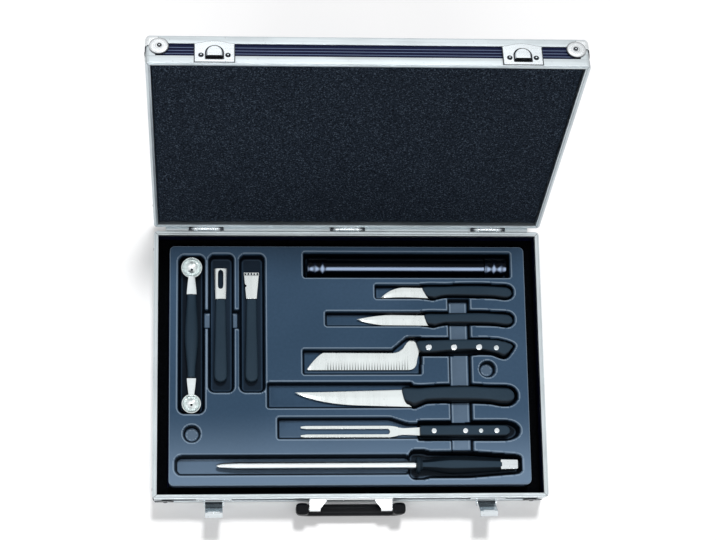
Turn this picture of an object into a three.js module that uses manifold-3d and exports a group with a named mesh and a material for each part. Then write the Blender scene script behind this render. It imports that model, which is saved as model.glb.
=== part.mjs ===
// Hard case for a cook's knives, open, with ten tools seated in a formed tray.
// Millimetres. +X runs to the right, +Y towards the hinges and +Z up.
// The origin is in the middle of the underside of the base.

import * as THREE from 'three';
import { mergeVertices } from 'three/addons/utils/BufferGeometryUtils.js';
import { RoundedBoxGeometry } from 'three/addons/geometries/RoundedBoxGeometry.js';
import Module from 'manifold-3d';

const wasm = await Module();
wasm.setup();

// Driving dimensions

const gap = 0.3;
const runningGap = 0.06;
const overrun = 4;

const shell = {
  width: 500,
  depth: 345,
  baseHeight: 54,
  lidHeight: 39,
  cornerRadius: 5,
  lipGap: 0.3,
  openAngle: 107.6,
};

const profile = {
  skin: 2,
  web: 2.5,
  innerLeg: 1,
  innerDrop: 8,
  rimHeight: 10,
  baseEdgeHeight: 15,
  lidEdgeHeight: 12,
  flange: 15,
  edgeRadius: 4,
  grooveWidth: 2.4,
  grooveDepth: 1,
  tongueWidth: 1.4,
  tongueHeight: 0.8,
};

const band = { thickness: 2, ribHeight: 0.5, ribWidth: 1.6, ribPitch: 4.2, ribs: 3 };
const panel = { thickness: 4.5 };
const corner = { reach: 15, lobeCentre: 15.5, lobeRadius: 11.3, thickness: 1.2, proud: 0.6 };
const rivet = { radius: 2.7, height: 1.2 };

const foamFrame = { height: 19, trayGap: 0.6 };
const lidFoam = { recess: 4, sideGap: 0.3 };

const hinge = {
  count: 3,
  endMargin: 67,
  width: 45,
  offset: 3,
  knuckleRadius: 2.5,
  pinRadius: 1.2,
  leaf: 1.5,
  baseLeaf: 20,
  lidLeaf: 18,
  endKnuckleShare: 0.26,
};
const hingePitch = (shell.width - 2 * hinge.endMargin) / (hinge.count - 1);
const rail = { height: 10, cover: 5.2 };

const latch = {
  endMargin: 77,
  width: 46,
  waist: 31,
  sheet: 1.2,
  top: 52.6,
  foot: 20,
  pivotHeight: 34,
  pivotOut: 4.5,
  pinRadius: 1.2,
  barrelRadius: 2.6,
  earRadius: 4.4,
  hasp: 22,
  haspSheet: 1.5,
  haspClear: 0.8,
  tooth: 15,
  toothHeight: 2.6,
  curl: 3.6,
  ridgeShares: [0.45, 0.6, 0.75],
  openAngle: 34,
};

const strike = {
  height: 29.5,
  shoulder: 24,
  rivetSpread: 15,
  rivetHeight: 9.6,
  bar: 3.6,
  slotHeight: 4,
  slotWidth: 19.6,
  hoodWidth: 18.8,
  hoodHeight: 14.4,
  hoodDepth: 2.6,
  crownShare: 0.7,
};

const grip = {
  length: 139,
  arm: 16.4,
  thickness: 15,
  bar: 15,
  reach: 29,
  crown: 6,
  outerRadius: 11,
  innerRadius: 7,
  bevel: 2.4,
  pivotHeight: 37,
  pivotOut: 12,
  pinRadius: 1.8,
  pinShare: 0.7,
};

const bracket = { width: 105, foot: 19, lugWide: 25, lugNarrow: 14, sheet: 1.5, knuckleRadius: 3.1 };

const trayMargin = { side: 20.2, front: 16.7, back: 19.1 };
const tray = {
  width: shell.width - 2 * trayMargin.side,
  depth: shell.depth - trayMargin.front - trayMargin.back,
  shiftY: (trayMargin.front - trayMargin.back) / 2,
  top: 50,
  radius: 6.5,
  wall: 1.8,
};

const steelSheet = 1.8;

// Materials

function finish(color, roughness, metalness) {
  return new THREE.MeshStandardMaterial({ color, roughness, metalness });
}

const material = {
  satinAluminium: finish(0xd9dcde, 0.35, 0.9),
  ribbedPanel: finish(0x14161f, 0.5, 0.0),
  brightSheet: finish(0xe6e8ea, 0.2, 1.0),
  foam: finish(0x12141c, 0.95, 0.0),
  trayPlastic: finish(0x3d4a5f, 0.45, 0.0),
  gripPlastic: finish(0x0d0f13, 0.4, 0.0),
  handlePlastic: finish(0x2a2f36, 0.55, 0.0),
  blade: finish(0xeceeef, 0.25, 1.0),
  glossTube: finish(0x060709, 0.1, 0.0),
};

// Solids and cuts

function surface(positions, indices) {
  const geometry = new THREE.BufferGeometry();
  geometry.setAttribute('position', new THREE.Float32BufferAttribute(positions, 3));
  geometry.setIndex(indices);
  return geometry;
}

function enclosedVolume(positions, indices) {
  const [a, b, c] = [new THREE.Vector3(), new THREE.Vector3(), new THREE.Vector3()];
  let volume = 0;
  for (let i = 0; i < indices.length; i += 3) {
    a.fromArray(positions, 3 * indices[i]);
    b.fromArray(positions, 3 * indices[i + 1]);
    c.fromArray(positions, 3 * indices[i + 2]);
    volume += a.dot(b.cross(c)) / 6;
  }
  return volume;
}

// A solid from a closed surface, with its faces turned to point out
function solid(geometry) {
  const bare = geometry.clone();
  bare.deleteAttribute('normal');
  bare.deleteAttribute('uv');
  const merged = mergeVertices(bare, gap / 1000);
  const vertProperties = new Float32Array(merged.attributes.position.array);
  const triVerts = Uint32Array.from(merged.index.array);
  if (enclosedVolume(vertProperties, triVerts) < 0) {
    triVerts.reverse();
  }
  return new wasm.Manifold(new wasm.Mesh({ numProp: 3, vertProperties, triVerts }));
}

function join(...pieces) {
  return pieces.reduce((whole, piece) => whole.add(piece));
}

function cut(body, ...cutters) {
  return cutters.reduce((left, cutter) => left.subtract(cutter), body);
}

function geometryOf(body) {
  const { vertProperties, triVerts } = body.getMesh();
  const geometry = new THREE.BufferGeometry();
  geometry.setAttribute('position', new THREE.BufferAttribute(vertProperties, 3));
  geometry.setIndex(new THREE.BufferAttribute(triVerts, 1));
  return geometry;
}

function node(name, body, look) {
  const flat = geometryOf(body).toNonIndexed();
  flat.computeVertexNormals();
  const mesh = new THREE.Mesh(flat, look);
  mesh.name = name;
  return mesh;
}

function block(x, y, z) {
  const [width, depth, height] = [x[1] - x[0], y[1] - y[0], z[1] - z[0]];
  const geometry = new THREE.BoxGeometry(width, depth, height);
  geometry.translate((x[0] + x[1]) / 2, (y[0] + y[1]) / 2, (z[0] + z[1]) / 2);
  return solid(geometry);
}

function outline(points) {
  return new THREE.Shape(points.map(([u, v]) => new THREE.Vector2(u, v)));
}

function extruded(shape, depth, curveSegments = 6) {
  return new THREE.ExtrudeGeometry(shape, { depth, bevelEnabled: false, curveSegments });
}

function upright(shape, z, curveSegments) {
  const geometry = extruded(shape, z[1] - z[0], curveSegments);
  geometry.translate(0, 0, z[0]);
  return solid(geometry);
}

// A side view in (y, z), carried along X
function alongX(shape, x, curveSegments) {
  const geometry = extruded(shape, x[1] - x[0], curveSegments);
  geometry.rotateY(Math.PI / 2);
  geometry.rotateX(Math.PI / 2);
  geometry.translate(x[0], 0, 0);
  return solid(geometry);
}

// A front view in (x, z), carried along Y
function alongY(shape, y, curveSegments) {
  const geometry = extruded(shape, y[1] - y[0], curveSegments);
  geometry.rotateX(Math.PI / 2);
  geometry.translate(0, y[1], 0);
  return solid(geometry);
}

function rodX(radius, x, y, z, sides = 10) {
  const geometry = new THREE.CylinderGeometry(radius, radius, x[1] - x[0], sides);
  geometry.rotateZ(Math.PI / 2);
  geometry.translate((x[0] + x[1]) / 2, y, z);
  return solid(geometry);
}

// The bore for a pin along X, with more sides than the pin so that it turns freely
function boreX(pinRadius, x, y, z) {
  return rodX(pinRadius + runningGap, x, y, z, 16);
}

function post(radius, x, y, z, sides = 16) {
  const geometry = new THREE.CylinderGeometry(radius, radius, z[1] - z[0], sides);
  geometry.rotateX(Math.PI / 2);
  geometry.translate(x, y, (z[0] + z[1]) / 2);
  return solid(geometry);
}

function roundedRectangle(x, y, radii) {
  const [lowLeft, lowRight, highRight, highLeft] = radii;
  const shape = new THREE.Shape();
  shape.moveTo(x[0] + lowLeft, y[0]);
  shape.lineTo(x[1] - lowRight, y[0]);
  shape.absarc(x[1] - lowRight, y[0] + lowRight, lowRight, -Math.PI / 2, 0);
  shape.lineTo(x[1], y[1] - highRight);
  shape.absarc(x[1] - highRight, y[1] - highRight, highRight, 0, Math.PI / 2);
  shape.lineTo(x[0] + highLeft, y[1]);
  shape.absarc(x[0] + highLeft, y[1] - highLeft, highLeft, Math.PI / 2, Math.PI);
  shape.lineTo(x[0], y[0] + lowLeft);
  shape.absarc(x[0] + lowLeft, y[0] + lowLeft, lowLeft, Math.PI, 1.5 * Math.PI);
  return shape;
}

const halfWidth = shell.width / 2;
const halfDepth = shell.depth / 2;

// A section of (inset, z) points swept round the case's outline
function frameRing(section, steps = 2) {
  const positions = [];
  const sharpest = gap;
  for (let quarter = 0; quarter < 4; quarter += 1) {
    for (let step = 0; step <= steps; step += 1) {
      const angle = (quarter + step / steps) * Math.PI / 2;
      const middle = (quarter + 0.5) * Math.PI / 2;
      for (const [inset, z] of section) {
        const radius = Math.max(shell.cornerRadius - inset, sharpest);
        const centreX = Math.sign(Math.cos(middle)) * (halfWidth - inset - radius);
        const centreY = Math.sign(Math.sin(middle)) * (halfDepth - inset - radius);
        positions.push(centreX + radius * Math.cos(angle), centreY + radius * Math.sin(angle), z);
      }
    }
  }
  const across = section.length;
  const rings = positions.length / 3 / across;
  const indices = [];
  for (let ring = 0; ring < rings; ring += 1) {
    const next = (ring + 1) % rings;
    for (let point = 0; point < across; point += 1) {
      const after = (point + 1) % across;
      const a = ring * across + point;
      const b = next * across + point;
      const c = next * across + after;
      const d = ring * across + after;
      indices.push(a, b, c, a, c, d);
    }
  }
  return solid(surface(positions, indices));
}

// Rounded sections along X: each station is [x, y, z, half width, half height]
function lofted(stations, sides = 10, squareness = 0.75) {
  const positions = [];
  const indices = [];
  for (const [x, y, z, halfWidth, halfHeight] of stations) {
    for (let side = 0; side < sides; side += 1) {
      const angle = (side + 0.5) / sides * 2 * Math.PI;
      const across = Math.sign(Math.cos(angle)) * Math.abs(Math.cos(angle)) ** squareness;
      const up = Math.sign(Math.sin(angle)) * Math.abs(Math.sin(angle)) ** squareness;
      positions.push(x, y + halfWidth * across, z + halfHeight * up);
    }
  }
  const last = (stations.length - 1) * sides;
  for (let start = 0; start < last; start += sides) {
    for (let side = 0; side < sides; side += 1) {
      const after = (side + 1) % sides;
      const a = start + side;
      const b = start + after;
      indices.push(a, a + sides, b + sides, a, b + sides, b);
    }
  }
  for (let side = 1; side < sides - 1; side += 1) {
    indices.push(0, side, side + 1, last, last + side + 1, last + side);
  }
  return solid(surface(positions, indices));
}

// A domed rivet head whose seat is at a point of a face
function dome(seat, direction) {
  const points = [
    new THREE.Vector2(0, -rivet.height / 2),
    new THREE.Vector2(rivet.radius, -rivet.height / 2),
    new THREE.Vector2(rivet.radius, rivet.height * 0.3),
    new THREE.Vector2(rivet.radius * 0.6, rivet.height),
    new THREE.Vector2(0, rivet.height),
  ];
  const geometry = new THREE.LatheGeometry(points, 6);
  const turn = new THREE.Quaternion().setFromUnitVectors(new THREE.Vector3(0, 1, 0), direction);
  geometry.applyQuaternion(turn);
  geometry.translate(seat.x, seat.y, seat.z);
  return solid(geometry);
}

const toFront = new THREE.Vector3(0, -1, 0);

function ordered(one, two) {
  return [Math.min(one, two), Math.max(one, two)];
}

// Half shells

const bandInset = profile.skin + gap;
const bandInner = bandInset + band.thickness;
const rimWidth = bandInner + gap + profile.innerLeg;

function rimSection(height, mate) {
  const low = height - profile.rimHeight;
  const underWeb = height - profile.web;
  const middle = rimWidth / 2;
  const face = mate === 'groove'
    ? [
      [middle + profile.grooveWidth / 2, height],
      [middle + profile.grooveWidth / 2, height - profile.grooveDepth],
      [middle - profile.grooveWidth / 2, height - profile.grooveDepth],
      [middle - profile.grooveWidth / 2, height],
    ]
    : [
      [middle + profile.tongueWidth / 2, height],
      [middle + profile.tongueWidth / 2, height + profile.tongueHeight],
      [middle - profile.tongueWidth / 2, height + profile.tongueHeight],
      [middle - profile.tongueWidth / 2, height],
    ];
  return [
    [0, low],
    [profile.skin, low],
    [profile.skin, underWeb],
    [rimWidth - profile.innerLeg, underWeb],
    [rimWidth - profile.innerLeg, height - profile.innerDrop],
    [rimWidth, height - profile.innerDrop],
    [rimWidth, height],
    ...face,
    [0, height],
  ];
}

function edgeSection(edgeHeight) {
  const points = [];
  const steps = 2;
  for (let step = 0; step <= steps; step += 1) {
    const angle = step / steps * Math.PI / 2;
    points.push([
      profile.edgeRadius * (1 - Math.sin(angle)),
      profile.edgeRadius * (1 - Math.cos(angle)),
    ]);
  }
  points.push([0, edgeHeight]);
  points.push([profile.skin, edgeHeight]);
  points.push([profile.skin, profile.skin]);
  points.push([profile.flange, profile.skin]);
  points.push([profile.flange, 0]);
  return points;
}

function bandSection(height, edgeHeight) {
  const top = height - profile.web - gap;
  const middle = (edgeHeight + height - profile.rimHeight) / 2;
  const points = [[bandInner, bandInset], [bandInner, top], [bandInset, top]];
  for (let rib = band.ribs - 1; rib >= 0; rib -= 1) {
    const centre = middle + (rib - (band.ribs - 1) / 2) * band.ribPitch;
    points.push([bandInset, centre + band.ribWidth / 2]);
    points.push([bandInset - band.ribHeight, centre + band.ribWidth / 4]);
    points.push([bandInset - band.ribHeight, centre - band.ribWidth / 4]);
    points.push([bandInset, centre - band.ribWidth / 2]);
  }
  points.push([bandInset, bandInset]);
  return points;
}

// The case's outline moved inwards, with small corners
function caseOutline(inset) {
  return roundedRectangle(
    [inset - halfWidth, halfWidth - inset],
    [inset - halfDepth, halfDepth - inset],
    Array(4).fill(gap),
  );
}

function panelBody() {
  return join(
    upright(caseOutline(bandInner + gap), [bandInset, panel.thickness], 1),
    upright(caseOutline(profile.flange + gap), [0, bandInset], 1),
  );
}

// The outline of a corner piece on one face, grown all round by a margin, and carried into the case
function lobePrism(margin, depth) {
  const square = roundedRectangle(
    [-overrun, corner.reach + margin],
    [-overrun, corner.reach + margin],
    Array(4).fill(gap),
  );
  const slab = upright(square, [-overrun, depth], 1);
  const centre = corner.lobeCentre;
  const lobe = post(corner.lobeRadius + margin, centre, centre, [-overrun, depth], 10);
  return slab.add(lobe);
}

// A turned copy of a body: each row of the matrix gives a new axis from the old ones
function turned(body, rows) {
  const geometry = geometryOf(body);
  geometry.applyMatrix4(new THREE.Matrix4().set(...rows[0], 0, ...rows[1], 0, ...rows[2], 0, 0, 0, 0, 1));
  return solid(geometry);
}

function lobePrisms(margin, depth) {
  const prism = lobePrism(margin, depth);
  return join(
    turned(prism, [[-1, 0, 0], [0, -1, 0], [0, 0, 1]]),
    turned(prism, [[0, 0, -1], [-1, 0, 0], [0, 1, 0]]),
    turned(prism, [[0, -1, 0], [0, 0, -1], [1, 0, 0]]),
  );
}

// A rounded block whose corner is at (out, out, low), reaching into the case
function cornerBlock(out, low, radius, segments) {
  const size = 4 * corner.reach;
  const geometry = new RoundedBoxGeometry(size, size, size, segments, radius);
  geometry.translate(out - size / 2, out - size / 2, low + size / 2);
  return solid(geometry);
}

// One corner piece, with the case's corner at the origin and the case towards -X, -Y and +Z
function cornerPiece() {
  const depth = corner.thickness + shell.cornerRadius;
  const innerRadius = shell.cornerRadius - corner.thickness;
  const outside = cornerBlock(corner.proud, 0, shell.cornerRadius, 2);
  const inside = cornerBlock(corner.proud - corner.thickness, corner.thickness, innerRadius, 1);
  const sheet = cut(outside, inside).intersect(lobePrisms(0, depth));
  const along = -corner.lobeCentre;
  const up = corner.lobeCentre;
  return join(
    sheet,
    dome(new THREE.Vector3(corner.proud, along, up), new THREE.Vector3(1, 0, 0)),
    dome(new THREE.Vector3(along, corner.proud, up), new THREE.Vector3(0, 1, 0)),
  );
}

// What a corner piece takes out of the profiles and the panel under it
function cornerRecess() {
  const depth = corner.thickness + shell.cornerRadius;
  const kept = corner.proud - corner.thickness - gap;
  const inside = cornerBlock(kept, corner.thickness + gap, shell.cornerRadius - corner.thickness, 1);
  return cut(lobePrisms(gap, depth + gap), inside);
}

const cornerPlaces = [
  { name: 'back_right', quarter: 0 },
  { name: 'back_left', quarter: 1 },
  { name: 'front_left', quarter: 2 },
  { name: 'front_right', quarter: 3 },
];

// A quarter turn swaps the piece's two equal legs, so one shape serves all four corners
function atCorner(body, quarter) {
  const cos = [1, 0, -1, 0][quarter];
  const sin = [0, 1, 0, -1][quarter];
  const geometry = geometryOf(body);
  geometry.applyMatrix4(new THREE.Matrix4().makeRotationZ(quarter * Math.PI / 2));
  geometry.translate((cos - sin) * halfWidth, (cos + sin) * halfDepth, 0);
  return solid(geometry);
}

function halfShell(prefix, height, edgeHeight, mate, upsideDown) {
  const group = new THREE.Group();
  const recess = cornerRecess();
  const recesses = cornerPlaces.map(({ quarter }) => atCorner(recess, quarter));
  const edge = cut(frameRing(edgeSection(edgeHeight), 1), ...recesses);
  const rim = frameRing(rimSection(height, mate));
  const wall = frameRing(bandSection(height, edgeHeight), 1);
  group.add(node(`${prefix}_edge_profile`, edge, material.satinAluminium));
  group.add(node(`${prefix}_rim_profile`, rim, material.satinAluminium));
  group.add(node(`${prefix}_wall_band`, wall, material.ribbedPanel));
  group.add(node(`${prefix}_panel`, cut(panelBody(), ...recesses), material.ribbedPanel));
  const piece = cornerPiece();
  for (const { name, quarter } of cornerPlaces) {
    const seen = upsideDown ? cornerPlaces[3 - quarter].name : name;
    group.add(node(`${prefix}_corner_${seen}`, atCorner(piece, quarter), material.brightSheet));
  }
  return group;
}

// Hinges

const hingeAxis = { y: halfDepth + hinge.offset, z: shell.baseHeight + shell.lipGap / 2 };
const lidPlane = shell.baseHeight + shell.lipGap;
const hingePlaces = ['left', 'middle', 'right'].map((name, index) => ({
  name,
  x: (index - (hinge.count - 1) / 2) * hingePitch,
}));

// A leaf is a plate on the back wall with knuckles round the pin
function hingeLeaf(x, heights, knuckles) {
  const face = halfDepth + gap;
  const plate = block([x - hinge.width / 2, x + hinge.width / 2], [face, face + hinge.leaf], heights);
  const spans = knuckles.map(([from, to]) => [x + from * hinge.width, x + to * hinge.width]);
  const reach = [Math.min(heights[0], hingeAxis.z), Math.max(heights[1], hingeAxis.z)];
  const barrels = spans.map((span) => join(
    rodX(hinge.knuckleRadius, span, hingeAxis.y, hingeAxis.z),
    block(span, [face, face + hinge.leaf], reach),
  ));
  const bore = boreX(hinge.pinRadius, [x - hinge.width, x + hinge.width], hingeAxis.y, hingeAxis.z);
  return cut(join(plate, ...barrels), bore);
}

function hinges(onBase) {
  const group = new THREE.Group();
  const split = hinge.endKnuckleShare;
  const play = gap / hinge.width;
  for (const { name, x } of hingePlaces) {
    if (onBase) {
      const heights = [shell.baseHeight - hinge.baseLeaf, shell.baseHeight - hinge.knuckleRadius - gap];
      const knuckles = [[-0.5, -0.5 + split], [0.5 - split, 0.5]];
      const ends = [x - hinge.width / 2 + gap, x + hinge.width / 2 - gap];
      const pin = rodX(hinge.pinRadius, ends, hingeAxis.y, hingeAxis.z);
      group.add(node(`hinge_base_leaf_${name}`, hingeLeaf(x, heights, knuckles), material.satinAluminium));
      group.add(node(`hinge_pin_${name}`, pin, material.brightSheet));
    } else {
      const heights = [lidPlane + hinge.knuckleRadius + gap, lidPlane + hinge.lidLeaf];
      const knuckles = [[-0.5 + split + play, 0.5 - split - play]];
      group.add(node(`hinge_lid_leaf_${name}`, hingeLeaf(x, heights, knuckles), material.satinAluminium));
    }
  }
  return group;
}

// The rail behind the base rim, cut away at each hinge
function hingeRail() {
  const end = halfWidth - corner.reach;
  const low = shell.baseHeight - rail.height;
  const face = halfDepth + gap;
  const side = outline([
    [face, low],
    [face + profile.skin, low],
    [face + rail.cover, shell.baseHeight - profile.skin],
    [face + rail.cover, shell.baseHeight - gap],
    [face, shell.baseHeight - gap],
  ]);
  const notches = hingePlaces.map(({ x }) => block(
    [x - hinge.width / 2 - gap, x + hinge.width / 2 + gap],
    [face - overrun, face + rail.cover + overrun],
    [shell.baseHeight - rail.height / 2, shell.baseHeight + overrun],
  ));
  const slots = hingePlaces.map(({ x }) => block(
    [x - hinge.width / 2 - gap, x + hinge.width / 2 + gap],
    [face - overrun, face + hinge.leaf + gap],
    [low - overrun, shell.baseHeight + overrun],
  ));
  return node('hinge_rail', cut(alongX(side, [-end, end]), ...notches, ...slots), material.satinAluminium);
}

// Latches

const latchPlaces = ['left', 'right'].map((name, index) => ({
  name,
  x: (index - 0.5) * (shell.width - 2 * latch.endMargin),
}));
const frontFace = -halfDepth - gap;
const recessFace = -halfDepth + bandInset - band.ribHeight - gap;
const latchAxis = { y: -halfDepth - latch.pivotOut, z: latch.pivotHeight };
const bend = shell.baseHeight - profile.rimHeight - gap;

// The side view of a sheet that lies on the rim above and steps back onto the wall below
function steppedSheet(sheet, top, foot) {
  return outline([
    [frontFace, top],
    [frontFace, bend],
    [recessFace, bend],
    [recessFace, foot],
    [recessFace - sheet, foot],
    [recessFace - sheet, bend - sheet],
    [frontFace - sheet, bend - sheet],
    [frontFace - sheet, top],
  ]);
}

function latchPlate({ name, x }) {
  const half = latch.width / 2;
  const waist = latch.waist / 2;
  const front = outline([
    [x - half, latch.top],
    [x - half, bend],
    [x - waist, bend - (half - waist)],
    [x - waist, latch.foot],
    [x + waist, latch.foot],
    [x + waist, bend - (half - waist)],
    [x + half, bend],
    [x + half, latch.top],
  ]);
  const sheet = alongX(steppedSheet(latch.sheet, latch.top, latch.foot), [x - half, x + half]);
  const trimmed = sheet.intersect(alongY(front, [frontFace - overrun, recessFace + overrun]));
  const inner = latch.hasp / 2 + gap;
  const ears = [-1, 1].map((side) => {
    const span = ordered(x + side * inner, x + side * (inner + latch.sheet));
    const back = recessFace - latch.sheet / 2;
    return join(
      rodX(latch.earRadius, span, latchAxis.y, latchAxis.z),
      block(span, [latchAxis.y, back], [latchAxis.z - latch.earRadius, latchAxis.z + latch.earRadius]),
    );
  });
  const reach = inner + latch.sheet / 2;
  const pin = rodX(latch.pinRadius, [x - reach, x + reach], latchAxis.y, latchAxis.z);
  return node(`latch_plate_${name}`, join(trimmed, ...ears, pin), material.brightSheet);
}

// The hasp in its own frame: pivot at the origin, shut upright, its tooth towards +Y
function haspBody() {
  const inner = latchAxis.y - (frontFace - latch.sheet - latch.haspClear);
  const near = -inner;
  const far = near - latch.haspSheet;
  const slotLow = lidPlane + gap + strike.bar;
  const toothLow = slotLow + (strike.slotHeight - latch.toothHeight) / 2 - latch.pivotHeight;
  const toothHigh = toothLow + latch.toothHeight;
  const toothEnd = -halfDepth - gap - latchAxis.y;
  const side = outline([
    [near, 0],
    [near, toothHigh],
    [near - latch.curl * 0.65, toothHigh + latch.curl * 0.1],
    [far - latch.curl, toothHigh + latch.curl * 0.9],
    [far - latch.curl * 1.1, toothHigh + latch.curl * 0.4],
    [far - latch.curl * 0.35, toothHigh - latch.curl * 0.3],
    [far, toothHigh - latch.curl],
    [far, 0],
  ]);
  const half = latch.hasp / 2;
  const plate = alongX(side, [-half, half]);
  const tooth = block([-latch.tooth / 2, latch.tooth / 2], [near - gap, toothEnd], [toothLow, toothHigh]);
  const barrel = rodX(latch.barrelRadius, [-half, half], 0, 0);
  const ridges = latch.ridgeShares.map((share) => rodX(
    latch.haspSheet / 3,
    [-half + latch.haspSheet, half - latch.haspSheet],
    far,
    toothHigh * share,
    6,
  ));
  const bore = boreX(latch.pinRadius, [-latch.hasp, latch.hasp], 0, 0);
  return cut(join(plate, tooth, barrel, ...ridges), bore);
}

function hasps() {
  const group = new THREE.Group();
  for (const { name, x } of latchPlaces) {
    const pivot = new THREE.Group();
    pivot.position.set(x, latchAxis.y, latchAxis.z);
    pivot.rotation.x = THREE.MathUtils.degToRad(latch.openAngle);
    pivot.add(node(`latch_hasp_${name}`, haspBody(), material.brightSheet));
    group.add(pivot);
  }
  return group;
}

// Strike plates on the lid, each with a hood over a slot for the hasp's tooth

function hoodOutline(x, low, margin) {
  const half = strike.hoodWidth / 2 - margin;
  const straight = low + strike.hoodHeight - strike.hoodWidth / 2;
  const shape = new THREE.Shape();
  shape.moveTo(x - half, low);
  shape.lineTo(x + half, low);
  shape.lineTo(x + half, straight);
  shape.absarc(x, straight, half, 0, Math.PI);
  shape.lineTo(x - half, low);
  return shape;
}

function strikePlate({ name, x }) {
  const low = lidPlane + gap;
  const half = latch.width / 2;
  const arch = half * strike.crownShare;
  const shoulder = low + strike.shoulder;
  const archFoot = shoulder + strike.hoodDepth;
  const crown = new THREE.Shape();
  crown.moveTo(x - half, low);
  crown.lineTo(x + half, low);
  crown.lineTo(x + half, shoulder);
  crown.quadraticCurveTo(x + half, archFoot, x + arch, archFoot);
  crown.quadraticCurveTo(x, 2 * (low + strike.height) - archFoot, x - arch, archFoot);
  crown.quadraticCurveTo(x - half, archFoot, x - half, shoulder);
  const back = frontFace;
  const front = frontFace - latch.sheet;
  const hoodFront = front - strike.hoodDepth;
  const slotLow = low + strike.bar;
  const slotTop = slotLow + strike.slotHeight;
  const plate = alongY(crown, [front, back], 4);
  const raised = alongY(hoodOutline(x, slotTop, 0), [hoodFront, front]);
  const under = hoodOutline(x, slotTop - latch.sheet, latch.sheet);
  const hollow = alongY(under, [hoodFront + latch.sheet, back + overrun]);
  const slot = block(
    [x - strike.slotWidth / 2, x + strike.slotWidth / 2],
    [front - overrun, back + overrun],
    [slotLow, slotTop],
  );
  const rivets = [-1, 1].map((side) => dome(
    new THREE.Vector3(x + side * strike.rivetSpread, front, low + strike.rivetHeight),
    toFront,
  ));
  const pressed = cut(plate.add(raised), hollow, slot);
  return node(`strike_plate_${name}`, join(pressed, ...rivets), material.brightSheet);
}

// Carrying handle

const gripAxis = { y: -halfDepth - grip.pivotOut, z: grip.pivotHeight };

function handleBracket() {
  const half = bracket.width / 2;
  const top = latch.top;
  const sheet = alongX(steppedSheet(bracket.sheet, top, bracket.foot), [-half, half]);
  const lugTop = gripAxis.z + bracket.knuckleRadius;
  const lugSide = outline([
    [recessFace, lugTop + bracket.sheet],
    [gripAxis.y, lugTop],
    [gripAxis.y, lugTop - bracket.sheet],
    [recessFace, lugTop],
  ]);
  const lugs = [-1, 1].map((side) => {
    const outer = side * half;
    const wallEnd = side * (half - bracket.lugWide);
    const knuckleEnd = side * (half - bracket.lugNarrow);
    const plan = outline([
      [outer, recessFace - bracket.sheet / 2],
      [wallEnd, recessFace - bracket.sheet / 2],
      [knuckleEnd, gripAxis.y],
      [outer, gripAxis.y],
    ]);
    const cover = alongX(lugSide, ordered(outer, wallEnd)).intersect(upright(plan, [0, shell.baseHeight]));
    const barrel = rodX(bracket.knuckleRadius, ordered(outer, knuckleEnd), gripAxis.y, gripAxis.z);
    const pinEnd = side * (half + gap + grip.arm * grip.pinShare);
    const pin = rodX(grip.pinRadius, ordered(knuckleEnd, pinEnd), gripAxis.y, gripAxis.z);
    return join(cover, barrel, pin);
  });
  return node('handle_bracket', join(sheet, ...lugs), material.brightSheet);
}

// The grip hangs from its two arms, with room for the fingers above the bar
function handleGrip() {
  const half = grip.length / 2 - grip.bevel;
  const inside = half - grip.arm + 2 * grip.bevel;
  const top = grip.crown - grip.bevel;
  const low = -grip.reach + grip.bevel;
  const barTop = low + grip.bar - 2 * grip.bevel;
  const outer = grip.outerRadius;
  const inner = grip.innerRadius;
  const shape = new THREE.Shape();
  shape.moveTo(-half, top);
  shape.lineTo(-half, low + outer);
  shape.absarc(-half + outer, low + outer, outer, Math.PI, 1.5 * Math.PI);
  shape.lineTo(half - outer, low);
  shape.absarc(half - outer, low + outer, outer, 1.5 * Math.PI, 2 * Math.PI);
  shape.lineTo(half, top);
  shape.lineTo(inside, top);
  shape.lineTo(inside, barTop + inner);
  shape.absarc(inside - inner, barTop + inner, inner, 0, -Math.PI / 2, true);
  shape.lineTo(-inside + inner, barTop);
  shape.absarc(-inside + inner, barTop + inner, inner, -Math.PI / 2, -Math.PI, true);
  shape.lineTo(-inside, top);
  const geometry = new THREE.ExtrudeGeometry(shape, {
    depth: grip.thickness - 2 * grip.bevel,
    bevelEnabled: true,
    bevelThickness: grip.bevel,
    bevelSize: grip.bevel,
    bevelSegments: 2,
    curveSegments: 3,
  });
  geometry.rotateX(Math.PI / 2);
  geometry.translate(0, grip.thickness / 2 - grip.bevel, 0);
  const bores = [-1, 1].map((side) => {
    const boreEnd = side * (bracket.width / 2 + 2 * gap + grip.arm * grip.pinShare);
    return boreX(grip.pinRadius, ordered(0, boreEnd), 0, 0);
  });
  const mesh = node('handle_grip', cut(solid(geometry), ...bores), material.gripPlastic);
  mesh.position.set(0, gripAxis.y, gripAxis.z);
  return mesh;
}

// Linings

function foamFrameBody() {
  const outer = bandInner + gap;
  const low = panel.thickness + gap;
  const high = low + foamFrame.height;
  const insideX = tray.width / 2 + foamFrame.trayGap + tray.wall;
  const insideY = tray.depth / 2 + foamFrame.trayGap + tray.wall;
  const insideTray = roundedRectangle(
    [-insideX, insideX],
    [tray.shiftY - insideY, tray.shiftY + insideY],
    Array(4).fill(tray.radius),
  );
  const ring = upright(caseOutline(outer), [low, high], 1);
  const hole = upright(insideTray, [low - overrun, high + overrun], 3);
  return node('foam_frame', cut(ring, hole), material.foam);
}

function lidFoamBody() {
  const inset = rimWidth + lidFoam.sideGap;
  const low = lidPlane + lidFoam.recess;
  const high = lidPlane + shell.lidHeight - panel.thickness - gap;
  return node('lid_foam', upright(caseOutline(inset), [low, high], 1), material.foam);
}

// Formed tray. Each tool adds its own pockets: plan outlines, each with the height of its floor.

const seat = { deep: 29, handle: 33.5, blade: 37, heavy: 32.5, scoop: 32, finger: 38 };
const room = { blade: 2.4, side: 2.9, end: 3.4, corner: 3 };

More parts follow.
